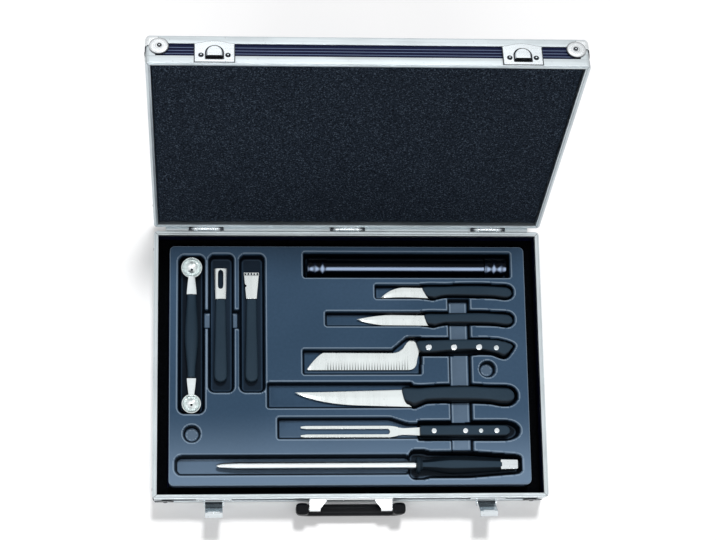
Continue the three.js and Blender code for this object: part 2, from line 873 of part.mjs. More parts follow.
// Tools keep their distance from the ends of the tray, and their rows are shares of its depth
const trayBack = tray.shiftY + tray.depth / 2;
const fromLeft = (margin) => margin - tray.width / 2;
const fromRight = (margin) => tray.width / 2 - margin;
const row = (share) => tray.shiftY + share * tray.depth;

const pockets = [];

function pocket(shape, floor, curveSegments = 3) {
  const points = shape.getPoints(curveSegments);
  const next = (index) => points[(index + 1) % points.length];
  const kept = points.filter((point, index) => point.distanceTo(next(index)) > gap / 10);
  pockets.push({ points: kept, floor });
}

function boxPocket(x, y, floor, radius = room.corner) {
  const curveSegments = radius > 2 * room.corner ? 4 : 2;
  pocket(roundedRectangle(x, y, Array(4).fill(radius)), floor, curveSegments);
}

// A pocket with a round right end
function roundEndPocket(x, y, floor, radius) {
  const half = (y[1] - y[0]) / 2;
  const shape = new THREE.Shape();
  shape.moveTo(x[0] + radius, y[0]);
  shape.lineTo(x[1] - half, y[0]);
  shape.absarc(x[1] - half, y[0] + half, half, -Math.PI / 2, Math.PI / 2);
  shape.lineTo(x[0] + radius, y[1]);
  shape.lineTo(x[0], y[1] - radius);
  shape.lineTo(x[0], y[0] + radius);
  pocket(shape, floor, 8);
}

// The same outline moved outwards by a margin
function grown(points, margin) {
  const way = Math.sign(THREE.ShapeUtils.area(points));
  return points.map((point, index) => {
    const before = points[(index + points.length - 1) % points.length];
    const after = points[(index + 1) % points.length];
    const one = new THREE.Vector2().subVectors(point, before).normalize();
    const two = new THREE.Vector2().subVectors(after, point).normalize();
    const normal = new THREE.Vector2(one.y + two.y, -(one.x + two.x)).normalize();
    const stretch = margin / Math.max(normal.x * one.y - normal.y * one.x, 0.5);
    return point.clone().addScaledVector(normal, way * stretch);
  });
}

function trayBody() {
  const low = panel.thickness + gap;
  const blockAt = (inset, from, to) => upright(
    roundedRectangle(
      [inset - tray.width / 2, tray.width / 2 - inset],
      [tray.shiftY + inset - tray.depth / 2, tray.shiftY + tray.depth / 2 - inset],
      Array(4).fill(tray.radius - inset),
    ),
    [from, to],
    3,
  );
  const open = tray.top + overrun;
  const pits = pockets.map(({ points, floor }) => upright(new THREE.Shape(points), [floor, open]));
  const outer = cut(blockAt(0, low, tray.top), ...pits);
  const hulls = pockets.map(({ points, floor }) => upright(
    new THREE.Shape(grown(points, tray.wall)),
    [floor - tray.wall, open],
  ));
  const inner = cut(blockAt(tray.wall, low - overrun, tray.top - tray.wall), ...hulls);
  return node('tray', cut(outer, inner), material.trayPlastic);
}

// Tools. Each lies along X at its place in the tray, and the three small ones are turned to lie along Y.

const tools = new THREE.Group();

// A moulded handle from a table of shares: [along, middle, width, height]
function handleBody({ start, length, y, width, height }, z, shares, sides = 10, squareness = 0.75) {
  const stations = shares.map(([along, middle, wide, high]) => [
    start + along * length,
    y + middle * width,
    z,
    wide * width / 2,
    high * height / 2,
  ]);
  return lofted(stations, sides, squareness);
}

// The pocket that follows a handle, with room to each side and past both ends, and a round right end
function handlePocket({ start, length, y, width }, shares, floor, side = room.side, endRoom = room.end) {
  const followed = shares.filter(([along]) => along < 0.9);
  const edge = (way) => followed.map(([along, middle, wide], index) => new THREE.Vector2(
    start + along * length - (index === 0 ? room.end : 0),
    y + (middle + way * wide / 2) * width + way * side,
  ));
  const [along, middle, wide] = followed[followed.length - 1];
  const centre = new THREE.Vector2(start + along * length, y + middle * width);
  const reach = (1 - along) * length + endRoom;
  const half = wide * width / 2 + side;
  const arc = Array.from({ length: 5 }, (_, step) => {
    const angle = ((step + 1) / 6 - 0.5) * Math.PI;
    return new THREE.Vector2(centre.x + reach * Math.cos(angle), centre.y + half * Math.sin(angle));
  });
  pocket(new THREE.Shape([...edge(-1), ...arc, ...edge(1).reverse()]), floor);
}

// A flat piece of steel from points, where a point of four numbers bends towards its first pair
function flatShape(points) {
  const shape = new THREE.Shape();
  shape.moveTo(...points[0]);
  for (const point of points.slice(1)) {
    if (point.length === 2) {
      shape.lineTo(...point);
    } else {
      shape.quadraticCurveTo(...point);
    }
  }
  return shape;
}

function flatBlade(points, z) {
  return upright(flatShape(points), [z - steelSheet / 2, z + steelSheet / 2], 4);
}

function flatSlot(points, z) {
  const slot = new THREE.Shape(grown(flatShape(points).getPoints(2), gap));
  return upright(slot, [z - steelSheet / 2 - gap, z + steelSheet / 2 + gap]);
}

// What lies in front of a handle's slanted end, which starts further forward at the spine
function frontOf({ start, slant, lean, width, height }, y, z) {
  const [spine, edge] = [y + width / 2, y - width / 2];
  const shape = outline([
    [start - slant - overrun, spine],
    [start - slant, spine],
    [start + lean, edge],
    [start + lean, edge - overrun],
    [start - slant - overrun, edge - overrun],
  ]);
  return upright(shape, [z - height, z + height]);
}

function addKnife(name, z, blade, handle) {
  tools.add(node(`${name}_blade`, flatBlade(blade, z), material.blade));
  tools.add(node(`${name}_handle`, cut(handle, flatSlot(blade, z)), material.handlePlastic));
}

// Turning knife and paring knife, with the same moulded handle

const smallKnife = {
  endMargin: 16.3,
  length: 110,
  width: 17.5,
  height: 13,
  bladeWidth: 14.5,
  slant: 5.7,
  lean: 4.4,
};
smallKnife.start = fromRight(smallKnife.endMargin) - smallKnife.length;
const turningKnife = { rowShare: 0.3079, blade: 57, tipRoom: 8.5 };
const paringKnife = { rowShare: 0.1915, blade: 89, tipRoom: 41 };

const smallHandleShares = [
  [-0.052, 0.0, 0.86, 0.5],
  [0.0, 0.0, 0.94, 0.65],
  [0.06, -0.02, 1.0, 0.8],
  [0.12, 0.02, 0.9, 0.9],
  [0.22, 0.06, 0.8, 0.96],
  [0.42, 0.09, 0.88, 1.0],
  [0.62, 0.08, 0.9, 1.0],
  [0.78, 0.05, 0.86, 0.98],
  [0.9, -0.02, 0.9, 0.92],
  [0.96, -0.08, 0.82, 0.8],
  [1.0, -0.1, 0.5, 0.5],
];

function smallKnifePiece(name, { rowShare, blade, tipRoom }, edge) {
  const y = row(rowShare);
  const z = seat.handle + gap + smallKnife.height / 2;
  const { start, length, width, slant, lean, bladeWidth: wide } = smallKnife;
  const tip = start - blade;
  const tang = start + length * 0.12;
  const points = [
    [tang, y + wide * 0.44],
    [tang, y - wide * 0.28],
    [start + lean, y - wide * 0.5],
    ...edge(tip, y, blade, wide),
  ];
  const whole = handleBody({ ...smallKnife, y }, z, smallHandleShares);
  addKnife(name, z, points, cut(whole, frontOf(smallKnife, y, z)));
  const half = wide / 2 + room.blade;
  const deep = width / 2 + room.blade;
  boxPocket([tip - tipRoom, start], [y - half, y + half], seat.blade);
  const ends = [start - slant - room.blade, start + length + room.blade];
  roundEndPocket(ends, [y - deep, y + deep], seat.handle, 2 * room.corner);
}

smallKnifePiece('turning_knife', turningKnife, (tip, y, blade, wide) => [
  [tip + blade * 0.45, y - wide * 0.3, tip, y - wide * 0.5],
  [tip + blade * 0.22, y + wide * 0.42, tip + blade * 0.5, y + wide * 0.5],
]);

smallKnifePiece('paring_knife', paringKnife, (tip, y, blade, wide) => [
  [tip + blade * 0.38, y - wide * 0.46],
  [tip + blade * 0.18, y - wide * 0.36, tip, y + wide * 0.05],
  [tip + blade * 0.25, y + wide * 0.42, tip + blade * 0.5, y + wide * 0.5],
]);

// Offset knife, whose blade steps down from the handle and has a wavy edge

const offsetKnife = {
  endMargin: 17.3,
  length: 121,
  rowShare: 0.0734,
  width: 18.5,
  height: 15,
  blade: 146,
  heelBack: 3.5,
  edgeBelow: 28.8,
  bladeWidth: 23,
  stepStartBack: 34.5,
  stepEndBack: 14.5,
  spineAbove: 10.5,
  slant: 18,
  flutes: 30,
  fluteDepth: 1.1,
  fluteRoom: 12,
  tipRoom: 5.4,
  edgeRoom: 7.2,
  endRoom: 5,
};
offsetKnife.start = fromRight(offsetKnife.endMargin) - offsetKnife.length;
offsetKnife.y = row(offsetKnife.rowShare);

const offsetHandleShares = [
  [0.0, 0.05, 0.96, 0.9],
  [0.08, 0.06, 0.9, 1.0],
  [0.25, 0.1, 0.8, 1.0],
  [0.5, 0.08, 0.82, 1.0],
  [0.75, 0.02, 0.88, 1.0],
  [0.88, -0.1, 0.95, 1.0],
  [0.95, -0.15, 0.9, 0.96],
  [1.0, -0.08, 0.5, 0.8],
];

// Wavy teeth from one end of the edge to the other
function flutedEdge(from, to, y, depth, count) {
  const pitch = (from - to) / count;
  return Array.from({ length: count }, (_, flute) => [
    [from - (flute + 0.5) * pitch, y + depth],
    [from - (flute + 1) * pitch, y],
  ]).flat();
}

function offsetKnifePieces() {
  const { start, length, y, width, blade, slant } = offsetKnife;
  const { fluteDepth, fluteRoom, flutes, tipRoom, edgeRoom } = offsetKnife;
  const z = seat.heavy + gap + offsetKnife.height / 2;
  const edgeY = y - offsetKnife.edgeBelow;
  const spineY = y + offsetKnife.spineAbove;
  const heel = start - offsetKnife.heelBack;
  const stepStart = start - offsetKnife.stepStartBack;
  const stepEnd = start - offsetKnife.stepEndBack;
  const tip = start - blade;
  const backY = edgeY + offsetKnife.bladeWidth;
  const tang = start + length * 0.12;
  const points = [
    [tip, edgeY],
    [tip + slant * 0.8, backY - slant * 0.15, tip + slant * 1.25, backY],
    [stepStart, backY - fluteDepth / 2],
    [(stepStart + stepEnd) / 2, backY, stepEnd, spineY - fluteDepth],
    [start - 2 * gap, spineY],
    [start - 2 * gap, spineY - width * 0.35],
    [tang, spineY - width * 0.35],
    [tang, spineY - width * 0.75],
    [start - 2 * gap, spineY - width * 0.75],
    [heel, edgeY + offsetKnife.bladeWidth / 2],
    [heel - gap, edgeY, heel - fluteRoom, edgeY],
    ...flutedEdge(heel - fluteRoom, tip + 2 * fluteRoom, edgeY, fluteDepth, flutes),
  ];
  const handle = handleBody(offsetKnife, z, offsetHandleShares, 8, 0.55);
  const slot = block(
    [start - overrun, tang + gap],
    [spineY - width * 0.75 - gap, spineY - width * 0.35 + gap],
    [z - steelSheet / 2 - gap, z + steelSheet / 2 + gap],
  );
  tools.add(node('offset_knife_blade', flatBlade(points, z), material.blade));
  tools.add(node('offset_knife_handle', cut(handle, slot), material.handlePlastic));
  const bladeX = [tip - tipRoom, heel + room.blade + room.side];
  boxPocket(bladeX, [edgeY - edgeRoom, backY + room.side], seat.blade);
  pocket(outline([
    [stepStart - room.blade, backY - slant],
    [start + room.side, backY - slant],
    [start + room.side, spineY + room.side],
    [stepEnd - room.blade, spineY + room.side],
    [stepStart - room.blade, backY + room.blade],
  ]), seat.blade);
  handlePocket(offsetKnife, offsetHandleShares, seat.heavy, room.side, offsetKnife.endRoom);
}
offsetKnifePieces();

// Boning knife, with a flared guard and a hooked butt

const boningKnife = {
  endMargin: 17.8,
  length: 137,
  rowShare: -0.1287,
  width: 23,
  height: 17,
  blade: 145.2,
  tipAbove: 4.4,
  spineAbove: 8,
  edgeBelow: 14.4,
  slant: 4.3,
  lean: 6.4,
  tipRoom: 35.4,
  endRoom: 5,
};
boningKnife.start = fromRight(boningKnife.endMargin) - boningKnife.length;
boningKnife.y = row(boningKnife.rowShare);

const boningHandleShares = [
  [-0.0315, 0.0, 0.9, 0.5],
  [0.0, -0.02, 0.98, 0.66],
  [0.05, -0.1, 1.14, 0.85],
  [0.1, -0.06, 1.0, 0.95],
  [0.18, 0.04, 0.84, 0.98],
  [0.35, 0.08, 0.86, 1.0],
  [0.55, 0.08, 0.9, 1.0],
  [0.75, 0.03, 0.88, 1.0],
  [0.88, -0.04, 0.98, 1.0],
  [0.95, -0.06, 0.9, 0.9],
  [1.0, -0.06, 0.5, 0.6],
];

function boningKnifePieces() {
  const { start, length, y, blade, lean, tipRoom } = boningKnife;
  const z = seat.heavy + gap + boningKnife.height / 2;
  const tipY = y + boningKnife.tipAbove;
  const spineY = y + boningKnife.spineAbove;
  const edgeY = y - boningKnife.edgeBelow;
  const tip = start - blade;
  const tang = start + length * 0.1;
  const wide = spineY - edgeY;
  const points = [
    [tip, tipY],
    [start, spineY],
    [tang, spineY - wide * 0.15],
    [tang, edgeY + wide * 0.3],
    [start + lean, edgeY],
    [tip + blade * 0.55, edgeY + wide * 0.1],
    [tip + blade * 0.2, edgeY + wide * 0.2, tip, tipY],
  ];
  const whole = handleBody(boningKnife, z, boningHandleShares);
  addKnife('boning_knife', z, points, cut(whole, frontOf(boningKnife, y, z)));
  boxPocket([tip - tipRoom, start + lean], [edgeY - room.blade, spineY + 3 * room.side], seat.blade);
  handlePocket(boningKnife, boningHandleShares, seat.heavy, room.side, boningKnife.endRoom);
}
boningKnifePieces();

// Carving fork with two round-ended tines on a flat shank

const fork = {
  endMargin: 24.6,
  length: 115.7,
  rowShare: -0.2768,
  width: 15.4,
  height: 14,
  reach: 151.5,
  crotch: 41.5,
  shank: 9,
  shankLength: 19.5,
  spread: 11.6,
  tine: 3.4,
  tipRoom: 30.8,
  backRoom: 17.6,
  frontRoom: 10.4,
  endRoom: 13.2,
};
fork.start = fromRight(fork.endMargin) - fork.length;
fork.y = row(fork.rowShare);

const forkHandleShares = [
  [0.0, 0.0, 0.94, 0.8],
  [0.04, 0.0, 0.98, 1.0],
  [0.5, 0.0, 1.0, 1.0],
  [0.85, 0.0, 1.02, 1.0],
  [0.96, 0.0, 0.92, 1.0],
  [1.0, 0.0, 0.6, 0.85],
];

function forkPieces() {
  const { start, length, y, reach, crotch, shank, shankLength, spread, tine, tipRoom } = fork;
  const z = seat.heavy + gap + fork.height / 2;
  const tip = start - reach;
  const root = start - crotch;
  const shankStart = start - shankLength;
  const outer = (spread + tine) / 2;
  const inner = (spread - tine) / 2;
  const tang = start + length * 0.94;
  const middle = (root + outer + shankStart) / 2;
  const half = [
    [tip, spread / 2],
    [tip + 3 * tine, outer],
    [root, outer],
    [root + outer, outer, middle, shank / 2],
    [shankStart, shank * 0.4],
    [start, shank / 2],
    [tang, shank / 2],
  ];
  const upper = half.map((point) => point.map((value, index) => (index % 2 ? y + value : value)));
  const lowerEdge = [
    [tang, y - shank / 2],
    [start, y - shank / 2],
    [shankStart, y - shank * 0.4],
    [middle, y - shank / 2],
    [root + outer, y - outer, root, y - outer],
    [tip + 3 * tine, y - outer],
    [tip, y - spread / 2],
    [tip + 3 * tine, y - inner],
    [root, y - inner],
    [root + inner, y - inner, root + inner, y],
    [root + inner, y + inner, root, y + inner],
    [tip + 3 * tine, y + inner],
  ];
  const slot = block(
    [start - overrun, tang + gap],
    [y - shank / 2 - gap, y + shank / 2 + gap],
    [z - steelSheet / 2 - gap, z + steelSheet / 2 + gap],
  );
  const handle = handleBody(fork, z, forkHandleShares, 8, 0.5);
  tools.add(node('meat_fork_tines', flatBlade([...upper, ...lowerEdge], z), material.blade));
  tools.add(node('meat_fork_handle', cut(handle, slot), material.handlePlastic));
  boxPocket([tip - tipRoom, root], [y - fork.frontRoom, y + fork.backRoom], seat.blade);
  pocket(outline([
    [root - room.blade, y - fork.frontRoom],
    [start, y - fork.frontRoom],
    [start, y + fork.frontRoom],
    [shankStart + room.corner, y + fork.frontRoom],
    [root + room.corner, y + fork.backRoom],
    [root - 2 * room.corner, y + fork.backRoom],
    [root - 2 * room.corner, y],
    [root - room.blade, y],
  ]), seat.blade);
  boxPocket([root, start + room.side], [y - fork.frontRoom, y + fork.frontRoom], seat.blade);
  handlePocket(fork, forkHandleShares, seat.heavy, 2 * room.side, fork.endRoom);
}
forkPieces();

// Sharpening steel: a tapered rod, a guard and a faceted handle that ends in a hanging loop

const steel = {
  endMargin: 16.8,
  rowShare: -0.4166,
  rodRadius: 5.1,
  rodLength: 253.3,
  taper: 26,
  length: 129.4,
  guard: 5.4,
  guardRadius: 10.9,
  handleRadius: 11.9,
  loopRadius: 2.2,
  loopWire: 1.1,
  channel: 26,
  tipRoom: 52.7,
};
steel.start = fromRight(steel.endMargin) - steel.length;
steel.y = row(steel.rowShare);

const rodTaperShares = [
  [0.0, 0.25],
  [0.08, 0.55],
  [0.4, 0.8],
  [1.0, 1.0],
];

const steelHandleShares = [
  [0.0, 0.8],
  [0.012, 0.92],
  [0.03, 0.92],
  [0.042, 0.8],
  [0.048, 0.52],
  [0.1, 0.56],
  [0.37, 1.0],
  [0.6, 0.88],
  [0.97, 0.6],
  [1.0, 0.52],
];

function sharpeningSteel() {
  const { y, rodRadius, rodLength, taper, tipRoom, start, length, guard } = steel;
  const { handleRadius, loopRadius, loopWire } = steel;
  const sides = 8;
  const squareness = 0.85;
  const z = seat.deep + gap + handleRadius * Math.cos(Math.PI / sides) ** squareness;
  const tip = start - gap - rodLength;
  const taperStations = rodTaperShares.map(([along, share]) => [
    tip + taper * along,
    y,
    z,
    rodRadius * share,
    rodRadius * share,
  ]);
  const rod = lofted([...taperStations, [start - gap, y, z, rodRadius, rodRadius]], 12, 1);
  const grow = steel.guardRadius / (handleRadius * 0.92);
  const handle = lofted(steelHandleShares.map(([along, share], index) => {
    const radius = handleRadius * share * (index < 4 ? grow : 1);
    return [start + length * along, y, z, radius, radius];
  }), sides, squareness);
  const loop = new THREE.TorusGeometry(loopRadius, loopWire, 5, 8);
  loop.translate(start + length + loopRadius * 0.6, y, z);
  tools.add(node('sharpening_steel_rod', rod, material.blade));
  tools.add(node('sharpening_steel_handle', handle.add(solid(loop)), material.handlePlastic));
  const half = steel.channel / 2;
  const guardHalf = steel.guardRadius + 3 * room.side;
  const bellyHalf = handleRadius + 2 * room.side;
  const loopHalf = half - room.side;
  const end = start + length + loopRadius + loopWire + room.blade;
  const upper = [
    [start - 2 * guard, half],
    [start - guard, guardHalf],
    [start + 2 * guard, guardHalf],
    [start + 3 * guard, bellyHalf],
    [start + length * 0.5, bellyHalf],
    [start + length, half],
    [end, loopHalf],
  ];
  const lower = upper.map(([x, across]) => [x, -across]).reverse();
  boxPocket([tip - tipRoom, start - guard], [y - half, y + half], seat.handle - gap, half * 0.7);
  pocket(outline([...upper, ...lower].map(([x, across]) => [x, y + across])), seat.deep);
}
sharpeningSteel();

// Glossy tube for needles, with a stepped cap at each end

const tube = {
  endMargin: 23.8,
  rowShare: 0.4211,
  length: 258,
  radius: 11.2,
  wall: 1.6,
  capRadius: 12,
  leftCap: 24,
  rightCap: 28,
  lip: 5,
  endRoom: 6,
  sideRoom: 4.8,
};
tube.start = fromRight(tube.endMargin) - tube.length;
tube.y = row(tube.rowShare);

// A cap turned from [along, radius] points, lying along X
function turnedAlongX(points, y, z) {
  const turned = points.map(([along, radius]) => new THREE.Vector2(radius, along));
  const geometry = new THREE.LatheGeometry(turned, 12);
  geometry.rotateZ(-Math.PI / 2);
  geometry.translate(0, y, z);
  return solid(geometry);
}

function needleTube() {
  const { y, start, length, radius, wall, capRadius, lip } = tube;
  const z = seat.deep + gap + capRadius;
  const end = start + length;
  const inside = wall + gap;
  const barrel = rodX(radius, [start + inside, end - inside], y, z, 12);
  const cap = (mouth, closedEnd) => {
    const way = Math.sign(closedEnd - mouth);
    return turnedAlongX([
      [mouth, radius + gap],
      [mouth, capRadius + gap],
      [mouth + way * lip, capRadius + gap],
      [mouth + way * (lip + gap), capRadius],
      [closedEnd, capRadius],
      [closedEnd, 0],
      [closedEnd - way * wall, 0],
      [closedEnd - way * wall, radius + gap],
      [mouth, radius + gap],
    ], y, z);
  };
  tools.add(node('needle_tube_barrel', barrel, material.glossTube));
  tools.add(node('needle_tube_cap_left', cap(start + tube.leftCap, start), material.glossTube));
  tools.add(node('needle_tube_cap_right', cap(end - tube.rightCap, end), material.glossTube));
  const half = capRadius + tube.sideRoom;
  boxPocket([start - tube.endRoom, end + tube.endRoom], [y - half, y + half], seat.deep - gap);
}
needleTube();

// Melon baller: a turned handle along Y with a scoop at each end

const baller = {
  sideMargin: 28.2,
  backMargin: 15,
  length: 108.4,
  width: 17.3,
  large: { reach: 35.4, radius: 12.4 },
  small: { reach: 33.2, radius: 11.2 },
  wall: 1.2,
  neckWide: 12,
  neckNarrow: 7,
  drain: 1.5,
  sideRoom: 5,
  endRoom: 2.6,
};
baller.x = fromLeft(baller.sideMargin);
baller.top = trayBack - baller.backMargin - baller.large.radius - baller.large.reach;

const ballerHandleShares = [
  [0.0, 0.0, 0.72, 0.7],
  [0.1, 0.0, 0.76, 0.76],
  [0.3, 0.0, 0.9, 0.9],
  [0.5, 0.0, 1.0, 1.0],
  [0.7, 0.0, 0.84, 0.84],
  [0.9, 0.0, 0.62, 0.62],
  [1.0, 0.0, 0.58, 0.55],
];

// A handle modelled along X and turned to run down from its top end
function standingHandle({ x, top, length, width, height }, z, shares) {
  const geometry = geometryOf(handleBody({ start: -top, length, y: x, width, height }, z, shares));
  geometry.rotateZ(-Math.PI / 2);
  return solid(geometry);
}

// A bowl with a drain hole, and the neck that joins it to the handle
function scoop({ radius }, y, neckEnd, z) {
  const { x, wall, neckWide, neckNarrow, drain } = baller;
  const ball = (size) => {
    const geometry = new THREE.SphereGeometry(size, 10, 6);
    geometry.rotateX(Math.PI / 2);
    geometry.translate(x, y, z);
    return solid(geometry);
  };
  const way = Math.sign(neckEnd - y);
  const rim = y + way * (radius - 2 * wall);
  const neck = upright(outline([
    [x - neckNarrow / 2, rim],
    [x + neckNarrow / 2, rim],
    [x + neckWide / 2, neckEnd],
    [x - neckWide / 2, neckEnd],
  ]), [z - 2 * wall, z - wall / 2]);
  const far = 2 * radius;
  const above = block([x - far, x + far], [y - far, y + far], [z, z + far]);
  return cut(ball(radius).add(neck), ball(radius - wall), above, post(drain, x, y, [z - far, z], 6));
}

function melonBaller() {
  const { x, top, length, width, large, small, wall, sideRoom, endRoom } = baller;
  const z = seat.scoop + gap + large.radius;
  const foot = top - length;
  const largeY = top + large.reach;
  const smallY = foot - small.reach;
  const handle = standingHandle({ ...baller, height: width }, z - wall, ballerHandleShares);
  tools.add(node('melon_baller_handle', handle, material.handlePlastic));
  tools.add(node('melon_baller_large_scoop', scoop(large, largeY, top + gap, z), material.blade));
  tools.add(node('melon_baller_small_scoop', scoop(small, smallY, foot - gap, z), material.blade));
  const half = large.radius + sideRoom;
  const ends = [smallY - small.radius - endRoom, largeY + large.radius + endRoom];
  boxPocket([x - half, x + half], ends, seat.scoop, half / 2);
}
melonBaller();

// Peeler and zester, which share one moulded handle

const smallTool = {
  backMargin: 68,
  length: 108.2,
  width: 17,
  height: 12,
  sheet: 1.2,
  sideRoom: 8.4,
  sideShift: 0.8,
  endRoom: 14.8,
  pocketMargin: 10.4,
};
smallTool.top = trayBack - smallTool.backMargin;

const smallToolShares = [
  [0.0, 0.0, 0.76, 0.72],
  [0.06, 0.0, 0.8, 0.84],
  [0.3, 0.0, 0.84, 0.94],
  [0.5, 0.0, 0.91, 1.0],
  [0.7, 0.0, 0.97, 1.0],
  [0.86, 0.0, 1.0, 0.98],
  [0.96, 0.0, 0.92, 0.86],
  [1.0, 0.0, 0.64, 0.6],
];

const smallToolFoot = smallTool.top + gap;
const smallToolZ = seat.handle + gap + smallTool.height / 2;

// The handle and pocket of a small tool, and the flaring plan of its blade
function smallToolParts(name, { sideMargin, blade, tipWidth, neckWidth }) {
  const x = fromLeft(sideMargin);
  const handle = standingHandle({ ...smallTool, x }, smallToolZ, smallToolShares);
  tools.add(node(`${name}_handle`, handle, material.handlePlastic));
  const half = smallTool.width / 2 + smallTool.sideRoom;
  const pocketX = x + smallTool.sideShift;
  const tip = smallToolFoot + blade;
  const ends = [smallTool.top - smallTool.length - smallTool.endRoom, trayBack - smallTool.pocketMargin];
  boxPocket([pocketX - half, pocketX + half], ends, seat.handle, half / 2);
  return outline([
    [x - neckWidth / 2, smallToolFoot],
    [x + neckWidth / 2, smallToolFoot],
    [x + tipWidth / 2, tip],
    [x - tipWidth / 2, tip],
  ]);
}

const peeler = { sideMargin: 65.5, blade: 40.2, tipWidth: 16, neckWidth: 12.6, slotWidth: 7, bow: 3 };

function slottedPeeler() {
  const { sideMargin, blade, tipWidth, slotWidth, bow } = peeler;
  const x = fromLeft(sideMargin);
  const { sheet } = smallTool;
  const plan = smallToolParts('peeler', peeler);
  const tip = smallToolFoot + blade;
  const half = tipWidth / 2 + overrun;
  const bowed = new THREE.Shape();
  bowed.moveTo(-half, 0);
  bowed.quadraticCurveTo(0, 2 * bow, half, 0);
  bowed.lineTo(half, -sheet);
  bowed.quadraticCurveTo(0, 2 * bow - sheet, -half, -sheet);
  const channel = extruded(bowed, blade, 6);
  channel.rotateX(Math.PI / 2);
  channel.translate(x, tip, smallToolZ - bow / 2);
  const heights = [seat.handle, tray.top];
  const slot = upright(roundedRectangle(
    [x - slotWidth / 2, x + slotWidth / 2],
    [tip - blade * 0.66, tip - blade * 0.1],
    Array(4).fill(slotWidth / 3),
  ), heights, 2);
  const body = solid(channel).intersect(upright(plan, heights));
  tools.add(node('peeler_blade', cut(body, slot), material.blade));
}
slottedPeeler();

const zester = {
  sideMargin: 105.2,
  blade: 34.8,
  tipWidth: 19.4,
  neckWidth: 13.4,
  holes: 5,
  holeRadius: 1.15,
  notchRadius: 1.9,
};

function zesterTool() {
  const { sideMargin, blade, tipWidth, neckWidth, holes, holeRadius, notchRadius } = zester;
  const x = fromLeft(sideMargin);
  const { sheet } = smallTool;
  const plan = smallToolParts('zester', zester);
  const tip = smallToolFoot + blade;
  const through = [smallToolZ - sheet, smallToolZ + sheet];
  const pitch = tipWidth / holes;
  const drilled = Array.from({ length: holes }, (_, index) => post(
    holeRadius,
    x + (index - (holes - 1) / 2) * pitch,
    tip - 1.6 * holeRadius,
    through,
    6,
  ));
  const side = x - (tipWidth + neckWidth) / 4;
  const notch = post(notchRadius, side, tip - blade * 0.5, through, 8);
  const sheetBody = upright(plan, [smallToolZ - sheet / 2, smallToolZ + sheet / 2]);
  tools.add(node('zester_blade', cut(sheetBody, ...drilled, notch), material.blade));
}
zesterTool();

// Finger channels and finger holes in the tray

const notch = { left: 41.8, right: 89.8, below: 15.5, depth: 24.8 };
const channel = { left: 101.4, width: 29, reach: 16.4, backReach: 9.6 };
const leftHole = { sideMargin: 28.9, rowShare: -0.2875, radius: 11.2 };
const rightHole = { sideMargin: 51.8, rowShare: -0.0207, radius: 10.8 };

const notchTop = smallTool.top - notch.below;
const notchX = [fromLeft(notch.left), fromLeft(notch.right)];
boxPocket(notchX, [notchTop - notch.depth, notchTop], seat.finger, gap);
const channelX = fromRight(channel.left);
const channelY = [steel.y + channel.reach, row(turningKnife.rowShare) - channel.backReach];
boxPocket([channelX, channelX + channel.width], channelY, seat.finger, gap);

function fingerHole({ rowShare, radius }, x) {
  const ring = new THREE.Shape();
  ring.absarc(x, row(rowShare), radius, 0, 2 * Math.PI);
  pocket(ring, seat.finger, 12);
}
fingerHole(leftHole, fromLeft(leftHole.sideMargin));
fingerHole(rightHole, fromRight(rightHole.sideMargin));

// Assembly

const knifeCase = new THREE.Group();
const base = halfShell('base', shell.baseHeight, profile.baseEdgeHeight, 'groove', false);
base.add(foamFrameBody());
base.add(trayBody());
base.add(hingeRail());
base.add(hinges(true));
base.add(handleBracket());
for (const place of latchPlaces) {
  base.add(latchPlate(place));
}
knifeCase.add(base);
knifeCase.add(handleGrip());
knifeCase.add(hasps());
knifeCase.add(tools);

const lid = new THREE.Group();
const lidShell = halfShell('lid', shell.lidHeight, profile.lidEdgeHeight, 'tongue', true);
lidShell.rotation.x = Math.PI;
lidShell.position.z = lidPlane + shell.lidHeight;
lid.add(lidShell);
lid.add(lidFoamBody());
lid.add(hinges(false));
for (const place of latchPlaces) {
  lid.add(strikePlate(place));
}
lid.position.set(0, -hingeAxis.y, -hingeAxis.z);
const lidPivot = new THREE.Group();
lidPivot.position.set(0, hingeAxis.y, hingeAxis.z);
lidPivot.rotation.x = -THREE.MathUtils.degToRad(shell.openAngle);
lidPivot.add(lid);
knifeCase.add(lidPivot);

export default knifeCase;
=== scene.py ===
# %% [markdown]
# # A hard knife case with its tools
#
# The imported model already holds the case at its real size, with its bodies and joints. This lesson dresses
# it: most of its faceted nodes give way to fine surfaces that are worked out as whole arrays, and every
# surface gets a finish made of nodes. Sizes are in millimetres until a mesh is filled, then in metres.

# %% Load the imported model
import math

import bpy
import numpy as np
from mathutils import Matrix


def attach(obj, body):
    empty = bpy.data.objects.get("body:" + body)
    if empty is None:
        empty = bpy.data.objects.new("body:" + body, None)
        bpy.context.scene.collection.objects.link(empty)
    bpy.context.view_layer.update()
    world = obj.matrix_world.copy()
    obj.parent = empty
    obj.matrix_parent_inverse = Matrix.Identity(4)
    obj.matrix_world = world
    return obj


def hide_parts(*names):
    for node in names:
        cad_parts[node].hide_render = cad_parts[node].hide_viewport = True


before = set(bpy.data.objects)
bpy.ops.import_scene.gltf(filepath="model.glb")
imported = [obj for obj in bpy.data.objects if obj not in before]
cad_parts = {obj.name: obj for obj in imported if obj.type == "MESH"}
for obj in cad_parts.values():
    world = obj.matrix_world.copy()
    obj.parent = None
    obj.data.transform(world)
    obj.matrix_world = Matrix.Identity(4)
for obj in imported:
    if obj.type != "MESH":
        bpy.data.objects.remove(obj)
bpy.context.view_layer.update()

# %% [markdown]
# ## Camera
#
# The camera looks down at the open case from above its front edge. Its place and turn come from the corners
# of the case, whose sizes are known. The rows below are its right, down and forward directions.

